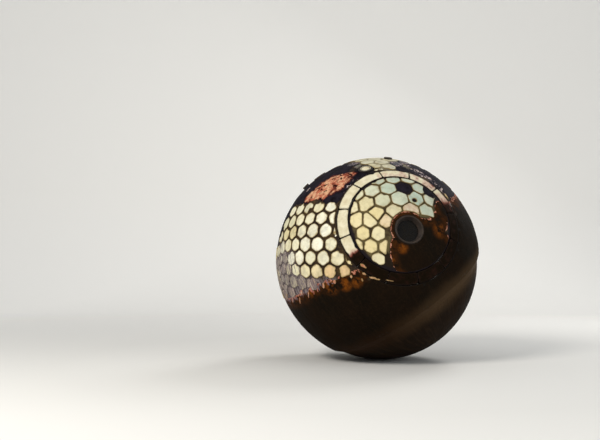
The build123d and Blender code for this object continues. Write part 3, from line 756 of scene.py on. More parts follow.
class Plates:
    """Mesh of many worn plates, such as tiles, gathered in one piece."""

    def __init__(self, pitch=0.0065, fill=0.016):
        self.pitch, self.fill = pitch, fill
        self.points, self.faces = [], []
        self.layers = {}

    def add(self, loops, out, top, sink, wear, tone, rounds=4, jitter=0, chips=(), shrink=0):
        """One plate from its outline: out is its outward direction, sink gives a point's
        place at a share of its depth, and tone gives its colours' values."""
        across = out.orthogonal().normalized()
        up = out.cross(across)
        flats = []
        for loop in loops:
            arms = [point - centre for point in loop]
            flat = [(arm.dot(across) / arm.dot(out) * top, arm.dot(up) / arm.dot(out) * top) for arm in arms]
            flat = relaxed(resampled(flat, self.pitch), rounds)
            if loop is loops[0]:
                flat = self.worn_outline(inward(flat, shrink), out, jitter, chips)
            flats.append(flat)

        def lifted(point, share):
            return sink((out * top + across * point[0] + up * point[1]).normalized(), share)

        start = len(self.points)
        spots, rims, inner = [], [], []
        for flat in flats:
            rows = []
            for distance, share, rim in plate_steps:
                ring = inward(flat, distance)
                rows.append(start + len(spots))
                spots += [lifted(point, share) for point in ring]
                rims += [rim] * len(flat)
            inner.append(ring)
            for low, high in zip(rows, rows[1:]):
                self.faces += band(low, high, len(flat))
        self.fill_top(inner, flats, start, spots, rims, lifted, wear)
        self.cover(flats, [], self.rim_index(flats, 0), start, flip=True)
        for point, rim in zip(spots, rims):
            self.points.append(point)
            for key, value in dict(tone, rim=rim * tone.get("edge", 1)).items():
                self.layers.setdefault(key, []).append(value)

    def worn_outline(self, flat, out, jitter, chips):
        """Outline made uneven, with bites out of its edge."""
        if jitter:
            shift = [jitter * noise.noise(Vector((x, y, 0)) * 26 + out * 50) for x, y in flat]
            flat = inward(flat, np.array(shift))
        for place, depth, width in chips:
            away = np.hypot(*(flat - flat[int(place * len(flat))]).T)
            flat = inward(flat, depth * np.exp(-((away / width) ** 2)))
        return relaxed(flat, 2)

    def rim_index(self, flats, row):
        """Number of each point of one rim row, over all loops."""
        index, first = [], 0
        for flat in flats:
            index += [first + len(flat) * row + k for k in range(len(flat))]
            first += len(flat) * len(plate_steps)
        return index

    def cover(self, loops, extra, index, start, flip):
        """Triangles that fill loops and use extra points."""
        pairs, base = [], 0
        for loop in loops:
            count = len(loop)
            pairs += [(base + k, base + (k + 1) % count) for k in range(count)]
            base += count
        flat = [Vector(point) for point in [*np.concatenate(loops), *extra]]
        verts, _, faces, origin, _, _ = geometry.delaunay_2d_cdt(flat, pairs, [], 0, 1e-7)
        table = np.array([tuple(point) for point in flat])
        named = []
        for vert, source in zip(verts, origin):
            nearest = source[0] if source else int(np.argmin(np.hypot(*(table - np.array(vert)).T)))
            named.append(index[nearest])
        for face in faces:
            middle = sum((verts[k] for k in face), Vector((0, 0))) / len(face)
            corners = [named[k] for k in face]
            if len(set(corners)) == len(corners) and inside(middle, loops):
                self.faces.append([start + k for k in (reversed(corners) if flip else corners)])

    def fill_top(self, inner, flats, start, spots, rims, lifted, wear):
        """Top surface between the innermost rim rows, with its own wear."""
        edge = np.concatenate(inner)
        low, high = edge.min(axis=0), edge.max(axis=0)
        index = self.rim_index(flats, len(plate_steps) - 1)
        extra, row = [], 0
        y = low[1] + self.fill / 2
        while y < high[1]:
            x = low[0] + self.fill / 2 * (1 + row % 2)
            while x < high[0]:
                reach = np.min(np.hypot(edge[:, 0] - x, edge[:, 1] - y))
                if reach > 0.5 * self.fill and inside((x, y), inner):
                    extra.append((x, y))
                    index.append(len(spots))
                    crown = 1 - step(0, 0.045, reach)
                    worn = wear(lifted((x, y), 0)) * step(0, 0.02, reach)
                    spots.append(lifted((x, y), 0.01 + 0.05 * crown + worn))
                    rims.append(0.42 * (1 - step(0, 0.022, reach)))
                x += self.fill
            y += self.fill * 0.866
            row += 1
        self.cover(inner, extra, index, start, flip=False)

    def piece(self, name, body, paint, slot, replaced=()):
        """The gathered plates as one piece."""
        make_piece(name, self.points, self.faces, body, paint, replaced, self.layers)


def plain_plates(node, radius, seed):
    """Each plain plate of a node: its random draws, loops, middle and outward direction."""
    made, parts = loose_parts(node)
    for number, part in enumerate(parts):
        loops = top_loops(part, radius)
        if loops:
            loops.sort(key=len, reverse=True)
            middle = sum(loops[0], Vector()) / len(loops[0])
            yield random.Random(f"{seed} {number}"), loops, middle, (middle - centre).normalized()
    made.free()


def worn_share(least, more, scale):
    """Function that gives the share of its depth that a plate has lost at a point."""
    return lambda point: max(0, least + more * rough(point, scale, 3))


def bites(draw, count, deepest, shallowest=0.004):
    """Bites out of a plate's edge: place, depth and width."""
    return [(draw.random(), draw.uniform(shallowest, deepest), draw.uniform(0.012, 0.03))
            for _ in range(count)]


def tile_shade(draw, direction):
    """Values of one shield tile's colours, with the lit left side painted whiter as a highlight."""
    depth = char_depth(direction)
    left = zone(direction, lit_side_zone)
    back = zone(direction, back_zone)
    streaked = zone(direction, flank_zone)
    return {
        # The tone and warmth carry a painted highlight on the lit left side
        "tone": min(1, draw.uniform(0.1, 0.7) + draw.uniform(0.2, 0.6) * left),
        "warm": min(1, 0.75 * step(-15, -1, depth) + draw.choice((0, 0.1, 0.2, 0.5)) * (1 - 0.5 * left)),
        "singe": step(-7, 0.5, depth) * draw.uniform(0.25, 0.9),
        "cool": 0.3 * back + 0.05 * zone(direction, crown_zone),
        "ash": draw.uniform(0.9, 1.15) * streaked,
        "dusk": zone(direction, dusk_zone),
        "soot": draw.uniform(0.1, 0.4) + 0.4 * back * draw.random(),
        "red": 0.5 * step(-3, 1, depth) * draw.random(),
        "edge": 0.95 - 0.35 * streaked,
    }


def cover_shade(draw, direction):
    """Values of one cover tile's colours: painted shade on its upper part, dimmer, cooler and darker, and warm
    lower down beside the scorched part.
    """
    offset = direction - service_axis
    # Upper part of the cover, where shade is painted into the tiles: less white, cool and darker
    upper = step(-0.10, 0.24, offset.z + 0.45 * offset.x)
    depth = cover_depth(direction)
    return {
        "tone": draw.uniform(0.2, 0.7) * (1 - 0.5 * upper),
        "warm": (1 - upper) * draw.uniform(0.35, 0.75),
        "singe": step(-0.09, 0, depth) * draw.uniform(0.1, 0.6),
        "cool": upper * draw.uniform(0.55, 0.95),
        "ash": 0,
        "dusk": 0,
        # Soot, with more on the upper part as painted shade
        "soot": 0.1 + 0.2 * upper * draw.random(),
        "red": step(-0.07, 0.02, depth) * draw.uniform(0.2, 0.7),
        "edge": 0.74,
    }


def circle_loop(direction, radius, level):
    """Points of a circle on the ball, running so that a hole stays on its right."""
    across = direction.orthogonal().normalized()
    up = direction.cross(across)
    turns = [-tau * k / 24 for k in range(24)]
    return [centre + direction * level + (across * cos(t) + up * sin(t)) * radius for t in turns]


def tiles(node, body, paint, shade, rounds, jitter, holes=()):
    """Worn tiles in place of a node's plain ones."""
    plates = Plates()
    for draw, loops, middle, out in plain_plates(node, tile_radius, node):
        reach = max((p - middle).length for p in loops[0])
        near = 0.8 * reach / tile_radius
        loops += [circle_loop(d, r, tile_radius) for d, r in holes if d.angle(out) < near]
        top = tile_radius - under_plain - draw.uniform(0, top_spread)
        tip = Vector([draw.uniform(-1, 1) for _ in range(3)]) * 0.004
        drop = top - shield_radius

        def sink(direction, share):
            lean = max(-0.0012, min(0.0004, (direction - out).dot(tip) * 3))
            return centre + direction * (top + lean * (1 - share) - share * drop)

        streaked = zone(out, flank_zone)
        at_edge = max(char_depth(out), patch_depth(out)) > -torn_within
        torn = (at_edge or streaked > 0.4) and node != "service_tiles"
        count = draw.choice((0, 0, 1, 1, 2)) + (3 if torn else 0)
        chips = bites(draw, count if reach > bitten_reach else 0, 0.026 if torn else 0.016)
        shrink = draw.uniform(-0.002, 0.004) if reach > 0.05 else 0
        if seat_margin(out) > seat_border:
            shrink -= wide_gap + 0.003 * streaked
        softening = draw.randint(*rounds)
        plates.add(loops, out, top, sink, worn_share(0.08, 0.2, 18), shade(draw, out), softening,
                   jitter * (1 + 1.6 * streaked), chips, shrink)
    plates.piece(node + "_worn", body, paint, "tile", (node,))


def ring_blocks(paint):
    """Worn ring blocks in place of the plain ones."""
    plates = Plates(pitch=0.008, fill=0.018)
    for draw, loops, _, out in plain_plates("service_ring", ring_top, "ring"):
        top = ring_top - draw.uniform(0, 0.0015)

        def sink(direction, share):
            crown = centre + direction * top
            depth = (crown - centre).dot(service_axis) - ring_floor
            return crown - service_axis * (share * 0.012 if share < 0.9 else depth)

        plates.add(loops, out, top, sink, worn_share(0.05, 0.22, 14), {}, 3, 0.003,
                   bites(draw, 2, 0.012, 0.003))
    plates.layers["burn"] = [ring_burn((point - centre).normalized()) for point in plates.points]
    plates.piece("service_ring_worn", "service_hatch", paint, "ring", ("service_ring",))


def ring_burn(direction):
    """How burnt the ring is, from its cream upper left to its dark lower right."""
    colatitude, longitude = where(direction)
    longitude = (longitude + 180) % 360 - 180
    limit = 70.5 + 11 * (longitude + 33) / 66
    width = 3 + 7 * step(-20, 20, longitude)
    burnt = step(-width, 0.7 * width, colatitude - limit + 2.5 * rough(direction, 6, 3))
    return max(burnt, zone(direction, blush_zone) * (0.28 + 0.4 * rough(direction, 16, 4)))


def bits(name, rows, body, paint):
    """Torn bits of tile lying on the char."""
    plates = Plates(pitch=0.004, fill=0.009)
    for number, (colatitude, longitude, length, width, turn, red) in enumerate(rows):
        draw = random.Random(f"{name} {number}")
        out = toward(colatitude, longitude)
        across = Vector((1, 0, 0))
        across = (across - out * across.dot(out)).normalized()
        up = out.cross(across)
        tilt = radians(-turn)
        loop = []
        for angle in (tau * k / 16 for k in range(16)):
            reach = draw.uniform(0.75, 1.15)
            x, y = reach * length / 2 * cos(angle), reach * width / 2 * sin(angle)
            u, v = x * cos(tilt) - y * sin(tilt), x * sin(tilt) + y * cos(tilt)
            loop.append(centre + out * shield_radius + across * u + up * v)
        top = shield_radius + draw.uniform(0.007, 0.0105)

        def sink(direction, share):
            return centre + direction * (top - share * (top - shield_radius + 0.0005))

        tone = {"tone": 0.4, "warm": 0, "singe": 0.7, "cool": 0, "dusk": 0,
                "ash": 0.85 * zone(out, flank_zone), "soot": 0.2, "red": red, "edge": 0.8}
        plates.add([loop], out, top, sink, worn_share(0.15, 0.5, 30), tone, 1)
    plates.piece(name, body, paint, "tile")


def outer_surface(node):
    """Function that gives a node's outermost radius along a direction, or 0 where it has none."""
    tree = BVHTree.FromObject(nodes[node], bpy.context.evaluated_depsgraph_get())

    def radius(direction):
        spot = tree.ray_cast(centre + direction * (tile_radius + 0.1), -direction)[0]
        return (spot - centre).length if spot else 0
    return radius


def sphere_mesh(fineness):
    """Directions and triangles of a finely divided ball."""
    made = bmesh.new()
    bmesh.ops.create_icosphere(made, subdivisions=fineness, radius=1)
    points = [vert.co.normalized() for vert in made.verts]
    faces = [[vert.index for vert in face.verts] for face in made.faces]
    made.free()
    return points, faces


def held(direction, reach):
    """Reach along a direction from the ball's centre, held inside the CAD model's box."""
    for k in range(3):
        if abs(direction[k]) > 0.5:
            side = cad_box[1][k] if direction[k] > 0 else cad_box[0][k]
            reach = min(reach, (side - centre[k]) / direction[k])
    return reach


def skin(name, node, body, paint, height, shade, ball):
    """Crust on a node's outer surface, where its height is above nothing."""
    directions, faces = ball
    radius = outer_surface(node)
    heights = [height(direction) for direction in directions]
    kept = [face for face in faces if max(heights[k] for k in face) > 0]
    wanted = sorted({k for face in kept for k in face})
    outside = {k for k in wanted if abs(radius(directions[k]) - shield_radius) < bare_slack}
    kept = [face for face in kept if all(k in outside for k in face)]
    used, points, layers = {}, [], {}
    for k in (k for face in kept for k in face):
        if k not in used:
            used[k] = len(points)
            reach = held(directions[k], shield_radius - under_plain + heights[k])
            points.append(centre + directions[k] * reach)
            for key, value in shade(directions[k]).items():
                layers.setdefault(key, []).append(value)
    faces = [[used[k] for k in face] for face in kept]
    make_piece(name, points, faces, body, paint, (), layers)


def seat_margin(direction):
    """Metres from the nearest hatch seat's edge, along the ball."""
    angle = min(direction.angle(axis) for axis in hatch_axes)
    return (angle - asin(seat_radius / shield_radius)) * shield_radius


def crust_lumps(direction):
    """Height of the crust's own relief."""
    colatitude, longitude = where(direction)
    streak = 0.0012 * rough(Vector((colatitude * 0.02, longitude * 0.14, 0)), 1)
    lumps = 0.0032 + 0.0024 * rough(direction, 7) + 0.0011 * rough(direction, 34) + streak
    return max(crust_range[0], min(crust_range[1], lumps))


def shield_height(direction):
    """Height of the crust on the shield."""
    depth = max(char_depth(direction), patch_depth(direction)) + 1.5 * rough(direction, 11, 5)
    cover = step(-0.3, 2.2, depth)
    if cover <= 0:
        return -under_plain
    return -under_plain + cover * step(0, 0.02, seat_margin(direction)) * crust_lumps(direction)


def shield_shade(direction):
    """Values of the crust's colours."""
    depth = char_depth(direction)
    in_char = step(-1, 0.5, depth)
    patch = step(-1, 1, patch_depth(direction))
    edge_rust = 0.35 * step(-0.5, 1, depth) * (1 - step(2, 9, depth))
    torn = 1 - step(0, 6.5 + 9 * rough(direction, 15, 3), depth)
    return {
        "rust": max(in_char * zone(direction, rust_zone), edge_rust),
        "fringe": (1 - step(0.8, 3, depth)) * step(-2.5, 0, depth),
        "salmon": patch * zone(direction, salmon_zone),
        "navy": patch * (1 - in_char),
        "peel": zone(direction, peel_zone),
        "ash": zone(direction, flank_zone) * torn * in_char,
        # Worn band, whose colour carries a painted highlight
        "band": step(*band_fade, where(direction)[0] + 1.5 * rough(direction, 5)),
    }


def plug_height(direction):
    """Height of the crust on the cover's plug."""
    if direction.dot(service_axis) < 0.8:
        return -1
    edge = step(0, 0.02, plug_radius - shield_radius * sin(direction.angle(service_axis)))
    hole = step(0, 0.012, shield_radius * sin(direction.angle(porthole_axis)) - porthole_recess)
    depth = cover_depth(direction) + 0.010 * rough(direction, 20, 5)
    return -under_plain + step(-0.008, 0.022, depth) * edge * hole * crust_lumps(direction)


def plug_shade(direction):
    """Values of the plug crust's colours."""
    depth = cover_depth(direction)
    x, y = cover_place(direction)
    upper = step(0.28, 0.36, y) * step(-0.1, 0, x)
    return {
        "rust": max(zone(direction, cover_rust_zone), 0.25 * (1 - step(0.03, 0.12, depth)) * (1 - upper)),
        "fringe": (1 - step(0.006, 0.026, depth)) * (1 - upper),
        "salmon": 0,
        "navy": upper,
        "peel": 0.6 * upper * step(0.3, 0.45, x),
        "ash": 0,
        "band": 0,
    }


def worn_cap(paint):
    """Windward cap, worn and streaked, closed at the back."""
    rings, sides, inner_rings = 110, 460, 6
    radius = outer_surface("shield_front")
    turns = [tau * j / sides for j in range(sides)]
    points, worn_lit_band_shares = [], []
    limit = radians(band_angle) - 1e-4

    def spoke(angle, turn):
        return -leeward * cos(angle) + (prime * cos(turn) + quarter * sin(turn)) * sin(angle)

    for i in range(rings + 1):
        angle = limit * max(i, 0.02) / rings
        fade = 1 - step(0.985, 1, i / rings)
        for turn in turns:
            direction = spoke(angle, turn)
            base = radius(direction) or shield_radius
            flow = Vector((cos(turn) * 20, sin(turn) * 20, degrees(angle) * 0.1))
            streak = max(0, rough(flow, 1)) * step(6, 30, degrees(angle))
            pits = max(0, rough(direction, 14)) + 0.3 * max(0, rough(direction, 50, 3))
            points.append(centre + direction * (base - fade * (0.0022 * pits + 0.0016 * streak)))
            # Share of the paler worn band, whose colour is partly a painted highlight
            worn_lit_band_shares.append(step(48, 58.5, degrees(angle) + 1.5 * rough(direction, 5)))
    for i in range(inner_rings + 1):
        angle = limit * (1 - i / inner_rings) + 0.0002
        points += [centre + spoke(angle, turn) * shield_inner for turn in turns]
        worn_lit_band_shares += [0] * sides
    faces = []
    last = (rings + inner_rings + 1) * sides
    for row in range(0, last, sides):
        for j in range(sides):
            k = (j + 1) % sides
            faces.append([row + j, row + sides + j, row + sides + k, row + k])
    faces += ends(last, 0, sides)[::-1]
    make_piece("worn_cap", points, faces, "capsule", paint, ("shield_front",), {"bevel": worn_lit_band_shares})


def basis(axis):
    """Two directions square to an axis, the second as upright as it can be."""
    up = Vector((0, 0, 1)) - axis * axis.z
    up = up.normalized() if up.length > 0.05 else axis.orthogonal().normalized()
    return up.cross(axis), up


def spokes(axis, count, first=0):
    """Directions spread evenly round an axis."""
    across, up = basis(axis)
    turns = [tau * (k + first) / count for k in range(count)]
    return [across * cos(turn) + up * sin(turn) for turn in turns]


class Turned:
    """Mesh of turned parts, gathered in one piece, with a lip value: how strongly an edge is painted as a
    highlight.
    """

    def __init__(self):
        self.points, self.faces, self.edge_highlights = [], [], []

    def add(self, origin, axis, profile, segments=48, closed=False, worn=0):
        """One turned part: profile rows are radius, level and lip value, the strength of the painted edge
        highlight.
        """
        start = len(self.points)
        sides = spokes(axis, segments)
        for radius, level, lip in profile:
            for side in sides:
                shift = worn * noise.noise(side * 9 + Vector((level * 40, radius * 40, 0)))
                self.points.append(origin + axis * (level - abs(shift)) + side * radius)
                self.edge_highlights.append(lip)
        rows = [start + i * segments for i in range(len(profile))]
        for low, high in zip(rows, rows[1:] + rows[:1] if closed else rows[1:]):
            self.faces += band(low, high, segments)
        if not closed:
            self.faces += ends(start, rows[-1], segments)

    def bolt(self, origin, axis, radius, height):
        """Small hexagonal bolt head with a chamfer and a socket."""
        rows = ((1, -0.2, 0), (1, 0.75, 0.6), (0.82, 1, 1), (0.5, 1, 0.8), (0.42, 0.55, 0.2))
        self.add(origin, axis, [(r * radius, level * height, lip) for r, level, lip in rows], 6)

    def bar(self, middle, along, out, length, width, height):
        """Small straight bar."""
        start = len(self.points)
        side = out.cross(along)
        for u, v, w in ((a, b, c) for a in (-0.5, 0.5) for b in (-0.5, 0.5) for c in (0, 1)):
            self.points.append(middle + along * (u * length) + side * (v * width) + out * (w * height))
            self.edge_highlights.append(0.5)
        for face in ((0, 1, 3, 2), (4, 6, 7, 5), (0, 4, 5, 1), (2, 3, 7, 6), (0, 2, 6, 4), (1, 5, 7, 3)):
            self.faces.append([start + k for k in face])

    def tube(self, path, radius, segments=10):
        """Pipe along points, none of whose runs points to the leeward pole."""
        start, last = len(self.points), len(path) - 1
        for k, point in enumerate(path):
            along = (path[min(last, k + 1)] - path[max(0, k - 1)]).normalized()
            side = along.cross(leeward).normalized()
            up = side.cross(along)
            for turn in (tau * j / segments for j in range(segments)):
                self.points.append(point + (side * cos(turn) + up * sin(turn)) * radius)
                self.edge_highlights.append(0.4)
        for i in range(last):
            self.faces += band(start + i * segments, start + (i + 1) * segments, segments)
        self.faces += ends(start, start + last * segments, segments)

    def piece(self, name, body, paint, slot, replaced=()):
        """The gathered parts as one piece, with sharp edges kept."""
        piece = make_piece(name, self.points, self.faces, body, paint, replaced, {"lip": self.edge_highlights})
        piece.data.set_sharp_from_angle(angle=radians(32))


def collar(name, axis, body, paint, node):
    """Porthole collar: worn lip, stepped funnel and a ring of screws."""
    def crown(radius):
        return sqrt(bezel_top**2 - radius**2)
    foot, mouth, flange = bezel_foot, bezel_mouth, bezel_flange
    lip, edge = crown(mouth), crown(flange)
    steps = 5
    slope = mouth - bezel_bore - 0.003
    rise = lip - foot - 0.010
    profile = [(bezel_bore, foot, 0), (bezel_bore + 0.002, foot + 0.006, 0.2)]
    for k in range(steps):
        radius = bezel_bore + 0.003 + slope * k / steps
        level = foot + 0.010 + rise * k / steps
        profile += [(radius, level, 0.1), (radius + 0.7 * slope / steps, level + 0.002, 0.3)]
    profile += [
        (mouth - 0.0015, lip - 0.004, 0.7), (mouth, lip - 0.0012, 1), (mouth + 0.002, lip - 0.0012, 1),
        (mouth + 0.0045, crown(mouth + 0.0045) - 0.0010, 0.15),
        (flange - 0.0040, crown(flange - 0.0040) - 0.0006, 0.15),
        (flange - 0.0025, edge - 0.0004, 0.6), (flange, edge - 0.0025, 0.4), (flange, edge - 0.010, 0.1),
        (flange, foot, 0),
    ]
    made = Turned()
    made.add(centre, axis, profile, 96, closed=True, worn=0.0008)
    radius = (mouth + flange) / 2
    for side in spokes(axis, 12, 0.5):
        made.bolt(centre + side * radius + axis * (crown(radius) - 0.0028), axis, 0.0045, 0.0022)
    made.piece(name, body, paint, "steel", (node,))


def boss(node, paint, shine=1):
    """Round fitting: rim with a groove and screws, and its core."""
    colatitude, longitude, radius, height = fittings[node]
    axis = toward(colatitude, longitude)
    low = shield_radius + seat_gap
    top = low + height
    bore = 0.55 * radius
    edge = min(0.002, 0.2 * height)
    made = Turned()
    made.add(centre, axis, (
        (bore, low, 0), (bore, top - edge, 0.6), (bore + edge, top, 1),
        (0.72 * radius, top, 0.5), (0.74 * radius, top - edge, 0.2), (0.78 * radius, top - edge, 0.2),
        (0.80 * radius, top, 0.5), (radius - edge, top, 1), (radius, top - edge, 0.7), (radius, low, 0),
    ), closed=True)
    core_top = low + 0.6 * height
    made.add(centre, axis, (
        (bore * 0.98, low, 0), (bore * 0.98, core_top - edge, 0.5), (bore * 0.9, core_top, 0.8),
        (0.2 * radius, core_top + 0.1 * height, 0.6), (0.05 * radius, core_top + 0.12 * height, 0.6),
    ), 40)
    for side in spokes(axis, 6):
        made.bolt(centre + side * (0.89 * radius) + axis * (top - 0.0022), axis, 0.055 * radius, 0.0022)
    # Shine scales the painted edge highlight
    made.edge_highlights = [shine * lip for lip in made.edge_highlights]
    made.piece(node + "_detail", "capsule", paint, "steel", (node,))


def vent_cap(paint):
    """White dished cap in the middle of the vent valve."""
    colatitude, longitude, radius, height = fittings["vent_valve"]
    low = shield_radius + seat_gap + 0.5 * height
    rim = shield_radius + seat_gap + height
    reach = 0.70 * radius
    profile = [
        (reach, low, 0.2), (reach, rim - 0.0002, 0.6), (reach - 0.001, rim + 0.0006, 0.6),
        (reach - 0.004, rim + 0.0006, 0.6), (0.56 * radius, low + 0.0032, 0.3),
    ]
    profile += [(0.5 * radius * cos(t), low + 0.0032 + 0.002 * sin(t), 0.3) for t in (0.5, 0.9, 1.3, 1.5)]
    made = Turned()
    made.add(centre, toward(colatitude, longitude), profile)
    made.piece("vent_cap", "capsule", paint, "ring")


def stud_mouths(axis, colatitude):
    """Mouths of the stud holes of a hatch frame."""
    across = (axis * cos(radians(colatitude)) - leeward).normalized()
    side = axis.cross(across)
    for k in range(stud_count):
        turn = tau * k / stud_count
        yield centre + axis * frame_face + (across * cos(turn) + side * sin(turn)) * stud_circle


def frame_trim(name, axis, colatitude, seal_paint, steel_paint):
    """Seal on a frame's face, and the stubs left in some of its stud holes."""
    seal = Turned()
    middle, width = frame_bore + 0.028, 0.0036
    level = frame_face - 0.0014
    rows = [tau * k / 10 for k in range(10)]
    profile = [(middle + width * cos(t), level + width * sin(t), 0.5) for t in rows]
    seal.add(centre, axis, profile[::-1], 180, closed=True)
    seal.piece(name + "_seal", "capsule", seal_paint, "grip")
    draw = random.Random(name)
    stubs = Turned()
    foot, pitch = -0.028, 0.0016
    for mouth in stud_mouths(axis, colatitude):
        if draw.random() < 0.45:
            continue
        top = -draw.uniform(0.002, 0.012)
        profile = [(0.0062, foot, 0)]
        for i in range(int((top - foot) / pitch)):
            profile.append((0.0064 if i % 2 else 0.0057, foot + pitch * (i + 0.5), 0.2))
        profile += [(0.0058, top, 0.9), (0.002, top - draw.uniform(0, 0.001), 0.7)]
        stubs.add(mouth, axis, profile, 12)
    stubs.piece(name + "_stubs", "capsule", steel_paint, "steel")


def bottle_trim(steel_paint, strap_paint):
    """Valve and strap of each air bottle, and the pipe that joins them."""
    colatitude, middle, pitch, count = bottle_row
    turns = [middle + pitch * (k - (count - 1) / 2) for k in range(count)]
    valves, straps = Turned(), Turned()
    for turn in turns:
        axis = toward(colatitude, turn)
        valves.add(centre + axis * (bottle_level - bottle_radius), -axis, (
            (0.024, -0.005, 0.2), (0.024, 0.004, 0.7), (0.013, 0.007, 0.5), (0.013, 0.020, 0.6),
            (0.019, 0.022, 0.9), (0.019, 0.034, 0.9), (0.008, 0.036, 0.7), (0.008, 0.044, 0.7),
        ), 24)
        straps.add(centre + axis * bottle_level, axis, (
            (0.0882, -0.008, 0.4), (0.0894, -0.008, 0.8), (0.0894, 0.008, 0.8), (0.0882, 0.008, 0.4),
        ), 64, closed=True)
    reach = bottle_level - bottle_radius - 0.028
    first, last = turns[0] - 7, turns[-1] + 7
    path = [centre + toward(colatitude, first + (last - first) * k / 60) * reach for k in range(61)]
    for turn in (first, last):
        path = path[::-1] + [centre + toward(colatitude, turn) * (reach + 0.012 * k) for k in range(1, 16)]
    valves.tube(path, 0.0065)
    valves.piece("bottle_valves", "capsule", steel_paint, "steel")
    straps.piece("bottle_straps", "capsule", strap_paint, "steel")


def dial_trim(mark_paint, rim_paint):
    """Rims, ticks and needles of the panel's dials."""
    marks, rims = Turned(), Turned()
    made, parts = loose_parts("panel_dials")
    for number, part in enumerate(parts):
        spots = np.array(sorted({tuple(vert.co) for face in part for vert in face.verts}))
        middle = (spots.min(axis=0) + spots.max(axis=0)) / 2
        out = Vector(np.linalg.svd(spots - middle)[2][2])
        middle = Vector(middle)
        out = out if out.dot(centre - middle) > 0 else -out
        face = middle + out * (dial_depth / 2)
        across, up = basis(out)

        def mark(turn, reach, *size):
            along = across * cos(turn) + up * sin(turn)
            marks.bar(face + along * reach, along, out, *size)

        rims.add(face, out, (
            (0.0355, -0.004, 0.2), (0.0355, 0.0012, 0.9), (0.0335, 0.0020, 1), (0.0312, 0.0002, 0.5),
            (0.0312, -0.004, 0.2),
        ), closed=True)
        for k in range(21):
            length = 0.007 if k % 5 == 0 else 0.004
            mark(radians(225 - 13.5 * k), 0.029 - length / 2, length, 0.0010, 0.0006)
        mark(radians(random.Random(f"dial {number}").uniform(-30, 210)), 0.009, 0.026, 0.0018, 0.0012)
        marks.add(face, out, ((0.004, -0.001, 0.2), (0.004, 0.0018, 0.8), (0.002, 0.0022, 0.8)), 16)
    made.free()
    marks.piece("dial_marks", "capsule", mark_paint, "dial")
    rims.piece("dial_rims", "capsule", rim_paint, "steel")


# Stage


def make_stage():
    """Floor that curves up into a backdrop."""
    width, front, back, bend, top = 60, -60, 9, 3, 12
    outline = [(front, 0)]
    outline += [(back + bend * sin(a), bend * (1 - cos(a))) for a in [radians(7.5 * k) for k in range(13)]]
    outline.append((back + bend, top))
    count = len(outline)
    points = [(side, y, z) for side in (-width, width) for y, z in outline]
    faces = [[k, count + k, count + k + 1, k + 1] for k in range(count - 1)]
    paint = Paint("studio_floor", Roughness=0.9, Specular_IOR_Level=0.1, Emission_Color=tint(232, 230, 226))
    glow = paint.span(paint.vector("LENGTH", paint.spot), 3.5, back + bend, 0, 0.36)
    paint.feed(paint.shader.inputs["Emission Strength"], paint.times(paint.seen(), glow))
    paint.colour = tint(230, 228, 223)
    smooth_object("floor", points, faces, paint.finish())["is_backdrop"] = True


def add_light(name, place, size, power, colour=(1, 1, 1)):
    """Square soft light that faces the ball."""
    lamp = bpy.data.lights.new(name, "AREA")
    lamp.size = size
    lamp.energy = power
    lamp.color = colour
    light = new_object(name, lamp)
    light.location = place
    light.rotation_euler = (centre - Vector(place)).to_track_quat("-Z", "Y").to_euler()


def make_lights():
    """Soft studio light, strongest from the upper left."""
    add_light("key_light", (-5.5, -7, 7), 3.2, 700, (1, 0.97, 0.92))
    add_light("fill_light", (7, -5, 3), 5, 130, (0.92, 0.96, 1))
    add_light("back_light", (5.2, 6, 8.5), 4, 460)
    world = bpy.data.worlds.new("studio")
    world.use_nodes = True
    sky = Nodes(world.node_tree)
    background = sky.tree.nodes["Background"]
    background.inputs["Color"].default_value = tint(226, 230, 234)
    sky.feed(background.inputs["Strength"], sky.plus(0.42, sky.times(sky.seen(), 0.45)))
    bpy.context.scene.world = world


def make_camera():
    """Camera at the photograph's viewing angle."""
    data = bpy.data.cameras.new("camera")
    data.lens = lens
    data.sensor_width = sensor
    data.sensor_fit = "HORIZONTAL"
    camera = new_object("camera", data)
    camera.location = centre + eye_from_ball
    camera.rotation_euler = (pi / 2 + eye_pitch, 0, 0)
    bpy.context.scene.camera = camera


bpy.context.scene.view_settings.view_transform = "Standard"
make_camera()
make_lights()
make_stage()

char = char_paint()
heat_tile = tile_paint()
collar_metal = collar_paint()
block_paint = ring_paint()
hull_paint = sheet_paint("hull_paint", (190, 191, 178), (166, 167, 152), 0.5)
frame_paint = metal_paint("frame_metal", (172, 170, 160), (140, 136, 124), 0.42)
steel = metal_paint("scorched_steel", (96, 88, 78), (58, 48, 40), 0.5, 0.7, 0.8)
grip_black = sheet_paint("grip_black", (34, 34, 36), (24, 24, 26), 0.5)
dial_white = sheet_paint("dial_white", (226, 224, 210), (206, 204, 190), 0.5)
rubber = sheet_paint("seal_rubber", (52, 34, 28), (38, 28, 24), 0.6)

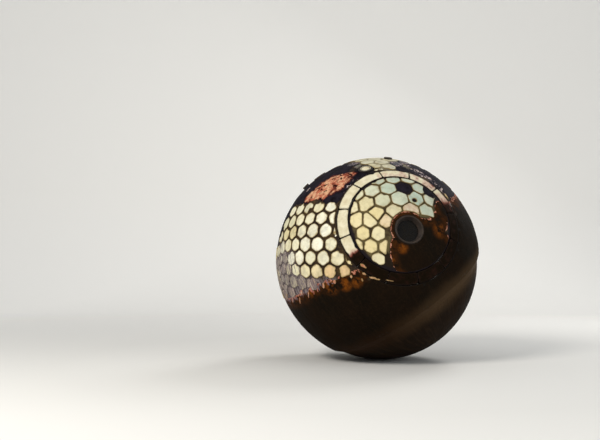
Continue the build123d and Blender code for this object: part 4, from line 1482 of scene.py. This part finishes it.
# The CAD nodes that stay, by material
coats = (
    (bond_paint("shield_bond"), "shield_rear"),
    (bond_paint("cover_bond", on_cover=True), "service_plug"),
    (hull_paint, "pressure_hull", "recovery_container"),
    (frame_paint, "service_hatch_frame", "entry_hatch_frame", "recovery_hatch_frame", "service_lid",
     "side_porthole_frame", "umbilical_plate", "bay_feet", "seat_rails"),
    (steel, "riser_lugs"),
    (glass_paint(), "porthole_glass", "side_porthole_glass"),
    (sheet_paint("equipment_grey", (104, 108, 106), (88, 92, 90)), "equipment_bay"),
    (sheet_paint("panel_grey", (122, 128, 124), (108, 114, 110)), "instrument_panel"),
    (sheet_paint("console_grey", (122, 128, 124), (108, 114, 110)), "side_console"),
    (globe_paint(), "panel_globe"),
    (sheet_paint("dial_black", (26, 26, 28), (18, 18, 20), 0.25), "panel_dials"),
    (grip_black, "hand_controller"),
    (sheet_paint("bottle_grey", (178, 182, 178), (158, 164, 160), 0.4), "air_bottles"),
)
for paint, *names in coats:
    for name in names:
        nodes[name].data.materials.clear()
        nodes[name].data.materials.append(paint)

tiles("tiles_flank", "capsule", heat_tile, tile_shade, (9, 22), 0.006)
tiles("tiles_crown", "capsule", heat_tile, tile_shade, (9, 22), 0.006)
hole = (on_cover(*cover_hole[:2]), cover_hole[2])
tiles("service_tiles", "service_hatch", heat_tile, cover_shade, (3, 8), 0.004, (hole,))
ring_blocks(block_paint)
bits("torn_bits", torn_bits, "capsule", heat_tile)
ball = sphere_mesh(8)
skin("shield_crust", "shield_rear", "capsule", char, shield_height, shield_shade, ball)
skin("plug_crust", "service_plug", "service_hatch", char, plug_height, plug_shade, ball)
worn_cap(cap_paint())
collar("porthole_collar", porthole_axis, "service_hatch", collar_metal, "porthole_bezel")
collar("side_porthole_collar", toward(*side_porthole), "capsule", collar_metal, "side_porthole_bezel")
for fitting in fittings:
    boss(fitting, collar_metal, 0.15 if fitting == "vent_valve" else 1)
vent_cap(block_paint)
bottle_trim(steel, grip_black)
dial_trim(dial_white, frame_paint)
frame_trim("entry", entry_axis, hatch_colatitudes[1], rubber, steel)
frame_trim("recovery", recovery_axis, hatch_colatitudes[2], rubber, steel)

boxes = {"cad": cad_box, "visual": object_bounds()}
{key: [list(corner) for corner in box] for key, box in boxes.items()}
